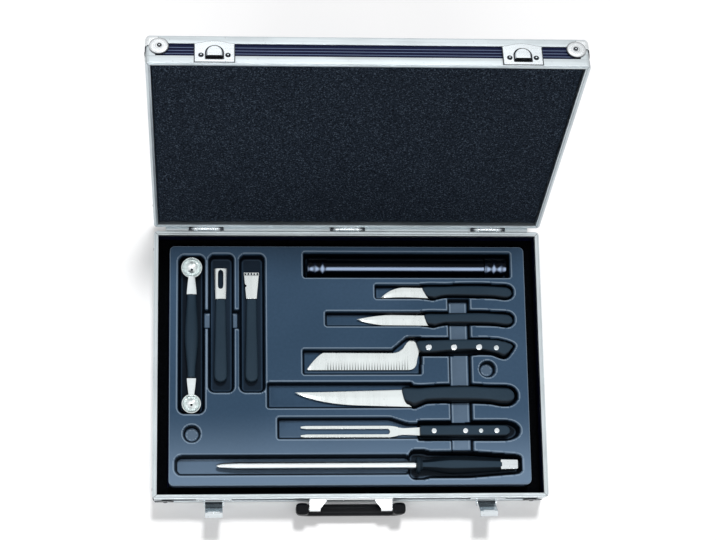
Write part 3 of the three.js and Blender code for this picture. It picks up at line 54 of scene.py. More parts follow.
# %% Camera
MM = 0.001
PHOTO = (716, 540)
FOCAL = 1675.09
OPTICAL_CENTRE = (302.34, 314.13)
CAMERA_PLACE = (-0.17636, -0.35753, 2.15605)
CAMERA_ROWS = np.array([
    (0.998525181, -0.00988192243, 0.0533836292),
    (0.000783249337, -0.980570735, -0.196165353),
    (0.0542848922, 0.195917857, -0.979116830),
])


def add_camera():
    """Points the lens: focal length in pixels over the picture's width, times the sensor's width."""
    lens = bpy.data.cameras.new("camera")
    lens.sensor_width = 36
    lens.lens = FOCAL / PHOTO[0] * lens.sensor_width
    lens.shift_x = (PHOTO[0] / 2 - OPTICAL_CENTRE[0]) / PHOTO[0]
    lens.shift_y = (OPTICAL_CENTRE[1] - PHOTO[1] / 2) / PHOTO[0]
    lens.clip_start, lens.clip_end = 0.05, 50
    camera = bpy.data.objects.new("camera", lens)
    right, down, forward = CAMERA_ROWS
    turn = Matrix(np.column_stack([right, -down, -forward]).tolist()).to_4x4()
    camera.matrix_world = Matrix.Translation(CAMERA_PLACE) @ turn
    bpy.context.scene.collection.objects.link(camera)
    bpy.context.scene.camera = camera
    return camera


print("lens", round(add_camera().data.lens, 2), "mm")

# %% [markdown]
# ## Shader arithmetic
#
# A finish is a small network of nodes. Written node by node it is hard to read, so one class wraps a socket
# and turns +, -, * and / into Math nodes, and one method makes every other kind of node.

# %% Sockets that add and multiply


class Value:
    """A number or vector on its way through a material."""

    def __init__(self, finish, link):
        self.finish, self.link = finish, link

    def maths(self, operation, *values):
        return self.finish.node("Math", {"operation": operation}, *values)

    def __add__(self, other):
        return self.maths("ADD", self, other)

    def __sub__(self, other):
        return self.maths("SUBTRACT", self, other)

    def __rsub__(self, other):
        return self.maths("SUBTRACT", other, self)

    def __mul__(self, other):
        return self.maths("MULTIPLY", self, other)

    def __truediv__(self, other):
        return self.maths("DIVIDE", self, other)

    def __abs__(self):
        return self.maths("ABSOLUTE", self)

    __radd__, __rmul__ = __add__, __mul__

    def rising(self, low, high):
        """0 below low and 1 above high, with a smooth step between."""
        return self.finish.node("MapRange", {"interpolation_type": "SMOOTHSTEP"}, self, low, high)


def shade(code):
    """A six-digit colour as linear red, green, blue and alpha."""
    share = np.array([code >> 16, code >> 8 & 255, code & 255]) / 255
    linear = np.where(share <= 0.04045, share / 12.92, ((share + 0.055) / 1.055) ** 2.4)
    return (*linear.tolist(), 1.0)


class Finish:
    """A material whose constants sit on the shader itself and whose variation comes from nodes."""

    def __init__(self, name, colour, grain=True, **constants):
        self.material = bpy.data.materials.new(name)
        self.material.use_nodes = True
        self.tree = self.material.node_tree
        self.shader = self.tree.nodes["Principled BSDF"]
        self.colour = shade(colour)
        self.put(Base_Color=self.colour, **constants)
        if grain:
            self.place = self.node("Attribute", {"attribute_name": "grain"}, out="Vector")
        else:
            self.place = self.node("TexCoord", out="Object")

    def feed(self, socket, value):
        if isinstance(value, Value):
            self.tree.links.new(value.link, socket)
        else:
            socket.default_value = value

    def node(self, kind, settings=None, *values, out=0, **named):
        """Any node: its type, its settings first, then the values or links of its sockets."""
        node = self.tree.nodes.new("ShaderNode" + kind)
        for setting, value in (settings or {}).items():
            setattr(node, setting, value)
        for socket, value in [*enumerate(values), *named.items()]:
            self.feed(node.inputs[socket], value)
        return Value(self, node.outputs[out])

    def noise(self, scale, stretch=(1, 1, 1), detail=3.0, roughness=0.5):
        """Cloudy noise from 0 to 1, with the pattern squeezed along each axis by the stretch."""
        where = self.node("Mapping", {"vector_type": "POINT"}, Vector=self.place, Scale=stretch)
        return self.node("TexNoise", None, Vector=where, Scale=scale, Detail=detail, Roughness=roughness,
                         out="Fac")

    def cells(self, scale):
        """The distance to the nearest of many scattered points."""
        return self.node("TexVoronoi", None, Vector=self.place, Scale=scale, out="Distance")

    def mixed(self, mask, low, high):
        """A colour between two others. Sockets 6 and 7 and output 2 are the Mix node's colours."""
        mix = self.tree.nodes.new("ShaderNodeMix")
        mix.data_type = "RGBA"
        for socket, value in ((0, mask), (6, low), (7, high)):
            self.feed(mix.inputs[socket], value)
        return Value(self, mix.outputs[2])

    def axis(self, name):
        return self.node("SeparateXYZ", None, self.place, out=name)

    def mark(self, name):
        """A number kept on the points of a piece, and zero on a piece without it."""
        return self.node("Attribute", {"attribute_name": name}, out="Fac")

    def bump(self, height, distance, strength=1.0):
        made = self.node("Bump", None, Height=height, Distance=distance, Strength=strength)
        self.feed(self.shader.inputs["Normal"], made)

    def put(self, **values):
        """Values for the shader's own sockets, an underscore standing for the space in a socket's name."""
        for name, value in values.items():
            self.feed(self.shader.inputs[name.replace("_", " ")], value)


# %% [markdown]
# ## Floor and light
#
# The case stands on a pale sweep under three soft lamps and a broad sun. The floor is only pale, so its
# shadow stays, and a little glow that only the camera sees lifts it to white. Metal is what it reflects, so
# rays that bounce off gloss see the same white room. The sun is kept out of gloss, because its image there
# would be a hard spot.

# %% Floor and light
SWEEP = 8.0
LAMPS = {
    "strip_lamp": {"place": (0, -0.8, 2.2), "size": (1.8, 0.1), "power": 9},
    "front_lamp": {"place": (-1.2, -1.4, 1.3), "size": (0.4, 0.4), "power": 5},
    "back_lamp": {"place": (0.1, 1.75, 1.75), "size": (1.6, 0.3), "power": 2.6},
}
SUN = {"place": (0.07, 0.44, 1.0), "strength": 2.15, "angle": 9}
FLOOR_GLOW = 0.14
ROOM_LIGHT = 0.28


def add_floor():
    """A square of the sweep's size, a diffuse white with a glow for the camera."""
    half = SWEEP / 2
    mesh = bpy.data.meshes.new("floor")
    mesh.from_pydata([(-half, -half, 0), (half, -half, 0), (half, half, 0), (-half, half, 0)], [],
                     [(0, 1, 2, 3)])
    floor = bpy.data.objects.new("floor", mesh)
    bpy.context.scene.collection.objects.link(floor)
    look = Finish("floor_paper", 0xF1F1F2, grain=False, Roughness=0.9)
    seen = look.node("LightPath", out="Is Camera Ray")
    mottled = look.noise(6.0, detail=2.0)
    look.put(Base_Color=look.mixed(mottled, shade(0xEFEFF0), shade(0xF4F4F4)), Emission_Strength=1.0)
    look.put(Emission_Color=look.mixed(seen, (0, 0, 0, 1), (FLOOR_GLOW, FLOOR_GLOW, FLOOR_GLOW, 1)))
    mesh.materials.append(look.material)
    return floor


def add_room():
    """White to the camera and to gloss, and a plain grey-white light to everything else."""
    world = bpy.data.worlds.new("room")
    world.use_nodes = True
    bpy.context.scene.world = world
    tree = world.node_tree
    path = tree.nodes.new("ShaderNodeLightPath")
    back = tree.nodes["Background"]
    white = path.outputs["Is Camera Ray"]
    for ray in ("Is Glossy Ray", "Is Transmission Ray"):
        either = tree.nodes.new("ShaderNodeMath")
        either.operation = "MAXIMUM"
        tree.links.new(white, either.inputs[0])
        tree.links.new(path.outputs[ray], either.inputs[1])
        white = either.outputs[0]
    strength = tree.nodes.new("ShaderNodeMapRange")
    tree.links.new(white, strength.inputs[0])
    strength.inputs["To Min"].default_value = ROOM_LIGHT
    strength.inputs["To Max"].default_value = 1.0
    tree.links.new(strength.outputs[0], back.inputs["Strength"])
    back.inputs["Color"].default_value = (1, 1, 1, 1)


def aimed(name, light, place):
    """Puts a lamp at its place and turns it to face the case."""
    holder = bpy.data.objects.new(name, light)
    aim = Matrix.Translation(place).to_translation()
    turn = (-aim).to_track_quat("-Z", "Y").to_matrix().to_4x4()
    holder.matrix_world = Matrix.Translation(aim) @ turn
    bpy.context.scene.collection.objects.link(holder)
    return holder


def add_lamps():
    """A strip for lines of light, a lamp low in front, one behind, and a sun for the soft shadows."""
    for name, lamp in LAMPS.items():
        light = bpy.data.lights.new(name, "AREA")
        light.shape = "RECTANGLE"
        light.size, light.size_y = lamp["size"]
        light.energy = lamp["power"]
        aimed(name, light, lamp["place"])
    sun = bpy.data.lights.new("sky_lamp", "SUN")
    sun.energy, sun.angle = SUN["strength"], math.radians(SUN["angle"])
    aimed("sky_lamp", sun, SUN["place"]).visible_glossy = False


add_floor()
add_room()
add_lamps()
bpy.context.scene.view_settings.view_transform = "Standard"
print(len(LAMPS), "lamps over a sweep of", SWEEP, "m")

# %% [markdown]
# ## From arrays to meshes
#
# A shape here is a pair: an array of points and a list of face arrays. A grid of points is woven into quads
# by shifting one array of numbers, so no point is handled by itself. Closed shapes are turned right side out
# by the sign of the volume that they enclose.

# %% Grids and joined shapes


def woven(points, round_rows=False, round_columns=False, ends=False):
    """Quads between the neighbours of a grid of rows and columns. Round ones join the last to the first."""
    rows, columns = points.shape[:2]
    here = np.arange(rows * columns).reshape(rows, columns)
    below = np.roll(here, -1, 0)
    quads = np.stack([here, below, np.roll(below, -1, 1), np.roll(here, -1, 1)], -1)
    quads = quads if round_rows else quads[:-1]
    quads = quads if round_columns else quads[:, :-1]
    faces = [quads.reshape(-1, 4)]
    if ends:
        faces += [here[:1, ::-1], here[-1:]]
    return points.reshape(-1, 3), faces


def laid(x, y, z):
    """A grid of points from three arrays, each spread over the rows or columns that it lacks."""
    return np.stack(np.broadcast_arrays(x, y, z), -1)


def border_loop(rows, columns):
    """The numbers of the points round the border of a grid."""
    index = np.arange(rows * columns).reshape(rows, columns)
    return np.concatenate([index[0, :-1], index[:-1, -1], index[-1, :0:-1], index[:0:-1, 0]])


def volume(points, faces):
    """The sum over a fan of triangles in each face of a dot (b cross c), over six."""
    total = 0.0
    for face in faces:
        corners = points[face]
        fans = np.cross(corners[:, 1:-1], corners[:, 2:])
        total += float((corners[:, :1] * fans).sum())
    return total / 6


def flipped(faces):
    """The same faces seen from their other side."""
    return [face[:, ::-1] for face in faces]


def outwards(shape):
    """A closed shape with its faces turned to point out."""
    points, faces = shape
    return (points, flipped(faces)) if volume(points, faces) < 0 else shape


def together(*shapes):
    """Several shapes as one, with the faces of each counted on from the points before it."""
    counts = np.cumsum([0] + [len(points) for points, _ in shapes])
    points = np.concatenate([points for points, _ in shapes])
    return points, [face + count for (_, faces), count in zip(shapes, counts) for face in faces]


print("a grid of 3 by 4 points has", len(woven(np.zeros((3, 4, 3)))[1][0]), "quads")

# %% From a shape to a finished piece


def fill(mesh, points, faces):
    """Hands whole arrays to the mesh: places, corner numbers and where each face starts."""
    corners = np.concatenate([face.ravel() for face in faces])
    sizes = np.concatenate([np.full(len(face), face.shape[1]) for face in faces])
    mesh.vertices.add(len(points))
    mesh.vertices.foreach_set("co", (points * MM).astype(np.float32).ravel())
    mesh.loops.add(len(corners))
    mesh.loops.foreach_set("vertex_index", corners.astype(np.int32))
    mesh.polygons.add(len(sizes))
    mesh.polygons.foreach_set("loop_start", (np.cumsum(sizes) - sizes).astype(np.int32))
    mesh.update(calc_edges=True)
    mesh.validate()


made = []


def piece(name, shape, body, look, slot, stands_for=(), turn=None, sheet=0.0, bevel=0.0, crease=32, merge=0.0,
          **marks):
    """One finished piece. Its unturned places, and any marks, are kept as attributes that its finish reads.

    The wall of a sheet lies behind its faces, or in front of them where the thickness is negative.
    """
    points, faces = shape
    mesh = bpy.data.meshes.new(name)
    fill(mesh, points if turn is None else turn(points), faces)
    grain = mesh.attributes.new("grain", "FLOAT_VECTOR", "POINT")
    grain.data.foreach_set("vector", (points * MM).astype(np.float32).ravel())
    for mark, values in marks.items():
        layer = mesh.attributes.new(mark, "FLOAT", "POINT")
        layer.data.foreach_set("value", values.astype(np.float32).ravel())
    mesh.shade_smooth()
    mesh.set_sharp_from_angle(angle=math.radians(crease))
    mesh.materials.append(look.material)
    thing = bpy.data.objects.new(name, mesh)
    bpy.context.scene.collection.objects.link(thing)
    if merge:
        weld = thing.modifiers.new("weld", "WELD")
        weld.merge_threshold = merge * MM
    if sheet:
        wall = thing.modifiers.new("wall", "SOLIDIFY")
        wall.thickness, wall.offset = abs(sheet) * MM, -1 if sheet > 0 else 1
        wall.use_even_offset = True
    if bevel:
        edge = thing.modifiers.new("edge", "BEVEL")
        edge.width, edge.segments, edge.limit_method = bevel * MM, 3, "ANGLE"
        edge.angle_limit = math.radians(crease)
        edge.harden_normals = True
    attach(thing, body)
    if stands_for:
        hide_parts(*stands_for)
    made.append(thing)
    return thing


print(len(made), "pieces so far")

# %% Outlines and curves


def softened(corners, radii, steps=4):
    """Rounds a closed outline: each corner gives way to the curve (1-t)^2 a + 2t(1-t) corner + t^2 b."""
    corners = np.asarray(corners, float)
    reach = np.broadcast_to(np.asarray(radii, float), len(corners))
    before = np.roll(corners, 1, 0) - corners
    after = np.roll(corners, -1, 0) - corners
    sides = [np.linalg.norm(side, axis=1, keepdims=True) for side in (before, after)]
    reach = np.minimum(reach[:, None], 0.48 * np.minimum(*sides))
    a, b = corners + before / sides[0] * reach, corners + after / sides[1] * reach
    t = np.linspace(0, 1, steps + 1)[None, :, None]
    curve = (1 - t) ** 2 * a[:, None] + 2 * t * (1 - t) * corners[:, None] + t**2 * b[:, None]
    return curve.reshape(-1, 2)


def angles(sides):
    """Even angles once round."""
    return np.arange(sides) / sides * 2 * np.pi


def rounded_square(sides, power):
    """A ring of (cos, sin), each raised to a power below 1 but keeping its sign, which fills the corners."""
    return [np.sign(part) * np.abs(part) ** power for part in (np.cos(angles(sides)), np.sin(angles(sides)))]


def share_of(distance, reach):
    """distance / reach, kept between 0 and 1."""
    return np.clip(distance / reach, 0, 1)


def fading(distance, reach, full=1.0):
    """full - distance / reach, kept between 0 and 1."""
    return np.clip(full - distance / reach, 0, 1)


def quarter_arc(distance, reach):
    """The height of a quarter circle: sqrt(1 - (1 - d)^2), d being the distance's share of the reach."""
    return np.sqrt(np.clip(1 - (1 - share_of(distance, reach)) ** 2, 0, 1))


def box_outline(x0, x1, y0, y1):
    """The four corners of a box, going round."""
    return [(x0, y0), (x1, y0), (x1, y1), (x0, y1)]


def eased(at, stops, values):
    """A smooth curve through values at stops: cubic steps, with slope 2ab / (a + b) between steps a and b."""
    stops, values = np.asarray(stops, float), np.asarray(values, float)
    steps = np.diff(stops)
    rise = np.diff(values) / steps
    both = rise[:-1] * rise[1:]
    inner = np.where(both > 0, 2 * both / np.where(both > 0, rise[:-1] + rise[1:], 1), 0)
    slope = np.concatenate([rise[:1], inner, rise[-1:]])
    part = np.clip(np.searchsorted(stops, at, side="right") - 1, 0, len(steps) - 1)
    t = (at - stops[part]) / steps[part]
    low, high = values[part], values[part + 1]
    return (
        low * (1 + 2 * t) * (1 - t) ** 2
        + high * t * t * (3 - 2 * t)
        + steps[part] * (slope[part] * t * (1 - t) ** 2 - slope[part + 1] * t * t * (1 - t))
    )


print("a softened square of", len(softened(box_outline(0, 1, 0, 1), 0.2)), "points")

# %% Carried and turned shapes


def prism(outline, low, high, axes="xyz"):
    """An outline carried straight from low to high. The axes name its two directions and the carried one."""
    outline = np.asarray(outline, float)
    order = ["xyz".index(axis) for axis in axes]
    points = np.zeros((2, len(outline), 3))
    points[:, :, order[0]], points[:, :, order[1]] = outline[:, 0], outline[:, 1]
    points[:, :, order[2]] = np.array([[low], [high]])
    return outwards(woven(points, round_columns=True, ends=True))


ALONG_X = (1, 0, 0)


def spun(profile, start, direction, sides=32):
    """A profile of (along, radius) pairs turned about a line from the start point along the direction."""
    along, radius = np.asarray(profile, float).T
    line = np.asarray(direction, float) / np.linalg.norm(direction)
    side = np.cross(line, (0, 0, 1) if abs(line[2]) < 0.9 else (1, 0, 0))
    side /= np.linalg.norm(side)
    angle = angles(sides)
    spoke = np.outer(np.cos(angle), side) + np.outer(np.sin(angle), np.cross(line, side))
    points = np.asarray(start, float) + along[:, None, None] * line + radius[:, None, None] * spoke
    return outwards(woven(points, round_columns=True, ends=True))


print("a box of", len(prism(box_outline(0, 1, 0, 1), 0, 1)[0]), "points")

# %% [markdown]
# ## Sizes of the case
#
# These are the same named sizes as the model's. The lid is worked out shut and upside down, as the base is
# made, then turned over on to the base and swung open about the line of the hinge pins.

# %% Sizes and turns
GAP = 0.3
WIDTH, DEPTH = 500, 345
BASE_HEIGHT, LID_HEIGHT = 54, 39
CORNER_RADIUS = 5
SKIN, WEB, INNER_LEG, INNER_DROP, RIM_HEIGHT = 2, 2.5, 1, 8, 10
BASE_EDGE, LID_EDGE, FLANGE, EDGE_RADIUS = 15, 12, 15, 4
BAND_INSET = SKIN + GAP
BAND_INNER = BAND_INSET + 2
RIM_WIDTH = BAND_INNER + GAP + INNER_LEG
PANEL = 4.5
LID_PLANE = BASE_HEIGHT + GAP
HINGE_AXIS = (DEPTH / 2 + 3, BASE_HEIGHT + GAP / 2)
FRONT_FACE = -DEPTH / 2 - GAP
RECESS_FACE = -DEPTH / 2 + BAND_INSET - 0.5 - GAP
OPEN_ANGLE = 107.6


def swung(points, degrees, y, z):
    """Turns points about a line along X through (y, z)."""
    cos, sin = math.cos(math.radians(degrees)), math.sin(math.radians(degrees))
    across, up = points[:, 1] - y, points[:, 2] - z
    return np.column_stack([points[:, 0], y + across * cos - up * sin, z + across * sin + up * cos])


def lid_open(points):
    return swung(points, -OPEN_ANGLE, *HINGE_AXIS)


def lid_over(points):
    """From the lid's own making, outer face down at zero, to the open lid."""
    shut = points * (1, -1, -1) + (0, 0, LID_PLANE + LID_HEIGHT)
    return lid_open(shut)


print("hinge line at y", HINGE_AXIS[0], "and z", HINGE_AXIS[1])

# %% [markdown]
# ## Finishes
#
# Fifteen finishes cover the case, made by six functions. Extruded aluminium is brushed along its length, the
# stamped and plated parts are smoother and brighter, the walls are a dark laminate, foam is nearly black with
# fine pale specks painted as highlights, and the formed tray has the soft gloss of sheet plastic. Small nicks
# and dulled patches keep them from being flat. Where a shape knows its own creases, lips, crests and shaded
# sides, it keeps them as a mark called fold, and the finish paints light and shade there: painted shade in
# creases, walls, deep floors and shaded sides, and painted highlights on lips, crests and the tube's line of
# light.

# %% Metal finishes


def brushed(name, colour, along, roughness, grain=True, depth=0.00003, mitre=False, rings=False, wear=0.74):
    """Fine lines along one axis, cloudy dulling, a few dark specks, and painted shade and dark reflections
    where fold is 1.
    """
    look = Finish(name, colour, grain=grain, Metallic=1.0, Roughness=roughness)
    lines = look.noise(900.0, along, detail=2.0, roughness=0.7)
    streaks = look.noise(170.0, along, detail=2.0, roughness=0.6)
    cloud = look.noise(16.0, detail=3.0)
    specks = look.noise(420.0, detail=1.0).rising(0.7, 0.78)
    worn = cloud * 0.35 + lines * 0.25 + streaks * 0.4
    darker = tuple(wear * part for part in look.colour[:3]) + (1.0,)
    base = look.mixed(worn.rising(0.3, 0.62), darker, look.colour)
    base = look.mixed(specks * 0.3, base, (0.2, 0.21, 0.24, 1))
    if rings:
        lobe, groove, well_rim, dome_rim = look.mark("lobe"), 0.0103, 0.0037, 0.0100
        where = look.node("CombineXYZ", None, lobe)
        turned = look.node("TexNoise", None, Vector=where, Scale=1500.0, Detail=2.0, out="Fac")
        # The seam round the lobe and the ring round the rivet are painted shade lines; the turned marks are
        # the plate's own finish.
        seam = 1 - abs(lobe - groove).rising(0.0003, 0.0008)
        well_shade = 1 - abs(lobe - well_rim).rising(0.0004, 0.0009)
        inside = 1 - lobe.rising(dome_rim, dome_rim + 0.0006)
        base = look.mixed(turned.rising(0.35, 0.65) * inside * 0.35, base, (0.25, 0.27, 0.3, 1))
        base = look.mixed(seam * 0.5 + well_shade * 0.3, base, (0.03, 0.035, 0.045, 1))
    if mitre:
        side = abs(look.axis("X")) - WIDTH / 2 * MM
        end = abs(look.axis("Y")) - DEPTH / 2 * MM
        joint = 1 - abs(side - end).rising(0.0002, 0.0006)
        near = (side + end).rising(-0.013, -0.011)
        base = look.mixed(joint * near * 0.8, base, (0.06, 0.06, 0.07, 1))
    # Painted shade where fold is 1: dark in creases and along outlines, and a painted dark reflection on
    # rivet skirts.
    crease = look.mark("fold").rising(0.1, 0.8)
    base = look.mixed(crease * 0.97, base, (0.012, 0.015, 0.022, 1))
    look.put(Base_Color=base, Roughness=cloud * 0.14 + lines * 0.08 + streaks * 0.06 + (roughness - 0.14))
    look.bump(lines, depth, 0.6)
    return look


EDGE_METAL = brushed("satin_aluminium", 0xD2DBDF, (0.02, 0.02, 1), 0.33, mitre=True)
RAIL_METAL = brushed("satin_aluminium_rail", 0xD4DCE0, (0.01, 0.6, 0.6), 0.34, grain=False)
PLATED = brushed("plated_sheet", 0xE0E7EB, (0.03, 0.5, 0.5), 0.24, depth=0.00001, wear=0.84)
STAMPED = brushed("stamped_sheet", 0xEDF1F3, (0.3, 0.3, 0.3), 0.26, depth=0.00001, rings=True)
BLADE = brushed("blade_steel", 0xE2E9E9, (0.5, 0.03, 0.5), 0.28, depth=0.000004, wear=0.87)
ROD = brushed("rod_steel", 0xE6EEF0, (0.02, 0.5, 0.5), 0.3, depth=0.000003, wear=0.9)
POLISHED = brushed("polished_sheet", 0xF4F8FA, (0.03, 0.5, 0.5), 0.2, depth=0.000005, wear=0.9)
METALS = (EDGE_METAL, RAIL_METAL, PLATED, STAMPED, BLADE, ROD, POLISHED)
print("metal finishes:", *(look.material.name for look in METALS))

# %% Plastic, laminate and foam finishes


def moulded(name, colour, roughness, speckle, depth, grain=True, **constants):
    """Moulded plastic: a pebbled surface, slow changes of tone, dulled patches, and black painted shade where
    fold is 1.
    """
    look = Finish(name, colour, grain=grain, Roughness=roughness, **constants)
    cloud = look.noise(9.0, detail=3.0)
    pebble = look.noise(speckle, detail=2.0, roughness=0.6)
    lighter = tuple(min(1.0, 1.3 * part + 0.004) for part in look.colour[:3]) + (1.0,)
    tone = (cloud * 0.6 + pebble * 0.4).rising(0.3, 0.7)
    # Painted shade: black where fold is 1, on the shaded sides and underside of a tool handle.
    base = look.mixed(look.mark("fold") * 0.9, look.mixed(tone, look.colour, lighter), shade(0x03060A))
    look.put(Base_Color=base, Roughness=cloud * 0.14 + pebble * 0.08 + (roughness - 0.1))
    look.bump(pebble, depth, 0.5)
    return look


def foam_finish(name, low, high, fleck, flecks):
    """Open foam: crumpled cells of a few millimetres, and pale flecks painted as highlights where a cell
    catches the light.
    """
    look = Finish(name, low, Roughness=0.95, Specular_IOR_Level=0.05)
    crumple = look.noise(360.0, detail=2.0, roughness=0.65)
    pits = look.cells(520.0)
    # Painted highlights: pale flecks where a cell would catch the light.
    cell_glints = look.noise(640.0, detail=1.0, roughness=0.6).rising(0.6, 0.68)
    base = look.mixed((crumple * 0.75 + pits * 0.25).rising(0.32, 0.66), shade(low), shade(high))
    base = look.mixed(cell_glints * flecks, base, shade(fleck))
    look.put(Base_Color=look.mixed(look.noise(9.0) * 0.35, base, shade(low)))
    look.bump(crumple + pits * 0.5, 0.0005, 0.7)
    return look


def tray_finish():
    """Drawn sheet: painted highlights on the lips where fold nears 1, painted shade in the walls and deep
    floors where it nears -1, and a painted sheen towards the front.
    """
    look = Finish("formed_tray", 0x384E62, Roughness=0.36, Specular_IOR_Level=0.07)
    fold = look.mark("fold")
    cloud = look.noise(4.5, detail=2.0)
    pebble = look.noise(260.0, detail=2.0, roughness=0.6)
    flat = look.mixed((cloud * 0.8 + pebble * 0.2).rising(0.3, 0.7), shade(0x30455A), shade(0x3D536A))
    # Painted sheen: the flat tone grows paler towards the front, as a lamp's reflection does there.
    front = (0.155 - look.axis("Y")) / 0.31
    flat = look.mixed(front.rising(0.68, 1.02) * 0.5, flat, shade(0x869DB5))
    # Painted highlight on the lips, then painted shade on the walls and deep floors.
    base = look.mixed(fold.rising(0.1, 0.85) * 0.75, flat, shade(0x9DB0C2))
    base = look.mixed((0 - fold).rising(0.0, 0.9) * 0.97, base, shade(0x020409))
    look.put(Base_Color=base, Roughness=cloud * 0.12 + pebble * 0.08 + 0.28)
    look.bump(pebble, 0.00004, 0.5)
    return look


def tube_finish():
    """Black gloss with a painted highlight: one soft blue line of light painted along it where fold is 1, and
    a painted deep blue glow beside it.
    """
    look = Finish("gloss_tube", 0x010205, Roughness=0.16, Specular_IOR_Level=0.06)
    sheen = look.mark("fold")
    ripple = look.noise(60.0, (0.15, 1, 1), detail=2.0)
    base = look.mixed(ripple.rising(0.3, 0.7), shade(0x000104), shade(0x03060C))
    # Painted highlight: a deep blue glow beside the line, then the pale line itself.
    base = look.mixed(sheen.rising(0.05, 0.4) * 0.5, base, shade(0x0E1B30))
    look.put(Base_Color=look.mixed(sheen.rising(0.3, 1.0) * (ripple * 0.4 + 0.7), base, shade(0xC0D6F8)))
    look.bump(ripple, 0.00001, 0.4)
    return look


def laminate_finish():
    """Dark blue laminate whose rib crests, where fold is 1, are painted pale as a highlight."""
    look = Finish("ribbed_laminate", 0x0B1030, Roughness=0.4, Specular_IOR_Level=0.1)
    pebble = look.noise(500.0, detail=2.0, roughness=0.6)
    base = look.mixed(pebble.rising(0.3, 0.7), shade(0x090D27), shade(0x111738))
    # Painted highlight on the rib crests.
    rib = look.mark("fold").rising(0.25, 0.9)
    look.put(Base_Color=look.mixed(rib * 0.8, base, shade(0x7E8FAC)))
    look.bump(pebble, 0.00003, 0.5)
    return look


TRAY = tray_finish()
LAMINATE = laminate_finish()
GLOSS = {"Specular_IOR_Level": 0.12}
PANEL_SKIN = moulded("panel_laminate", 0x0D1434, 0.45, speckle=300.0, depth=0.0001, grain=False, **GLOSS)
GRIP = moulded("grip_plastic", 0x04060A, 0.3, speckle=600.0, depth=0.00003, **GLOSS)
HANDLE = moulded("tool_handle_plastic", 0x21303C, 0.42, speckle=900.0, depth=0.00005, **GLOSS)
TUBE = tube_finish()
FOAM = foam_finish("lid_foam_grey", low=0x0A0E15, high=0x2C3643, fleck=0x6D7D90, flecks=0.6)
# The ring's foam is the lid's foam painted darker, as painted shade for the deep gap round the tray.
SHADED_FOAM = foam_finish("foam_in_painted_shade", low=0x020304, high=0x08090C, fleck=0x181B20, flecks=0.3)
print("moulded and foam finishes are ready")

# %% [markdown]
# ## Frames and walls
#
# Each half has an edge profile, a rim profile and a laminate wall between them, all of one section carried
# round the case. A section is a few corners, softened, and one formula carries it: on each corner's arc the
# radius is the case's own radius less the point's distance inwards.

# %% Sections and the way round


def round_case(section, steps=8):
    """Carries (inset, z) points round the case, radius = corner radius - inset on each quarter turn."""
    inset, z = np.asarray(section, float).T
    quarter = np.repeat(np.arange(4), steps + 1)
    angle = (quarter + np.tile(np.linspace(0, 1, steps + 1), 4)) * np.pi / 2
    middle = (quarter + 0.5) * np.pi / 2
    radius = np.maximum(CORNER_RADIUS - inset, GAP)
    x = np.sign(np.cos(middle))[:, None] * (WIDTH / 2 - inset - radius) + radius * np.cos(angle)[:, None]
    y = np.sign(np.sin(middle))[:, None] * (DEPTH / 2 - inset - radius) + radius * np.sin(angle)[:, None]
    return outwards(woven(laid(x, y, z), round_rows=True, round_columns=True))


def rim_section(height, groove):
    """The rim: outer leg, web, short inner leg, and a groove or a tongue along its middle."""
    low, under, middle = height - RIM_HEIGHT, height - WEB, RIM_WIDTH / 2
    half, step = (1.2, -1.0) if groove else (0.7, 0.8)
    corners = [
        (0, low), (SKIN, low), (SKIN, under), (RIM_WIDTH - INNER_LEG, under),
        (RIM_WIDTH - INNER_LEG, height - INNER_DROP), (RIM_WIDTH, height - INNER_DROP), (RIM_WIDTH, height),
        (middle + half, height), (middle + half, height + step),
        (middle - half, height + step), (middle - half, height), (0, height),
    ]
    return softened(corners, [0.4, 0.1, 0.1, 0.1, 0.2, 0.2, 0.5, 0.2, 0.2, 0.2, 0.2, 0.7], 3)


def edge_section(height):
    """The edge: a rounded outer corner, a wall and a flange that holds the panel."""
    corners = [(0, 0), (0, height), (SKIN, height), (SKIN, SKIN), (FLANGE, SKIN), (FLANGE, 0)]
    return softened(corners, [EDGE_RADIUS, 0.6, 0.3, 0.3, 0.4, 0.4], 7)


def wall_section(height, edge):
    """The wall, with three fine ribs as cosine bumps on its outer face, and each bump's share as the mark for
    the painted highlight on the rib crests.
    """
    low, high = BAND_INSET, height - WEB - GAP
    z = np.linspace(high, low, 160)
    middle = (edge + height - RIM_HEIGHT) / 2
    rib = np.abs(z[:, None] - middle - np.array([-1, 0, 1]) * 4.2).min(1)
    bump = 0.25 * (1 + np.cos(share_of(rib, 0.8) * np.pi))
    face = np.column_stack([BAND_INSET - bump, z])
    return np.concatenate([face, [(BAND_INNER, low), (BAND_INNER, high)]]), np.append(bump / 0.5, (0, 0))


# %% Frames and walls of both halves
HALVES = (("base", BASE_HEIGHT, BASE_EDGE, None), ("lid", LID_HEIGHT, LID_EDGE, lid_over))
for half, height, edge, turn in HALVES:
    for profile, section in (("rim", rim_section(height, half == "base")), ("edge", edge_section(edge))):
        piece(f"{half}_{profile}", round_case(section), half, EDGE_METAL, "satin_aluminium",
              [f"{half}_{profile}_profile"], turn)
    section, ribs = wall_section(height, edge)
    wall = round_case(section)
    # The ribs' crests get their painted highlight through the fold mark.
    piece(f"{half}_wall", wall, half, LAMINATE, "ribbed_panel", [f"{half}_wall_band"], turn,
          fold=np.tile(ribs, len(wall[0]) // len(ribs)))
print(len(made), "frame pieces")

# %% [markdown]
# ## Corner pieces
#
# Each corner is a stamped plate that folds over three faces, with a round lobe and a rivet on each. A face of
# it is a polar grid, from a centre out to the outline of a disc joined to a square. Where the plate passes
# the edge of the case, each point is pushed on to a sphere or cylinder of the corner's radius, so the three
# faces meet on the fold lines.

# %% One face of a corner piece
CORNER = {"reach": 15, "centre": 15.5, "lobe": 11.3, "sheet": 1.2, "proud": 0.6, "rise": 0.45, "hub": 8.5,
          "dish": 0.35}
RIVET = {"radius": 2.7, "height": 1.2}


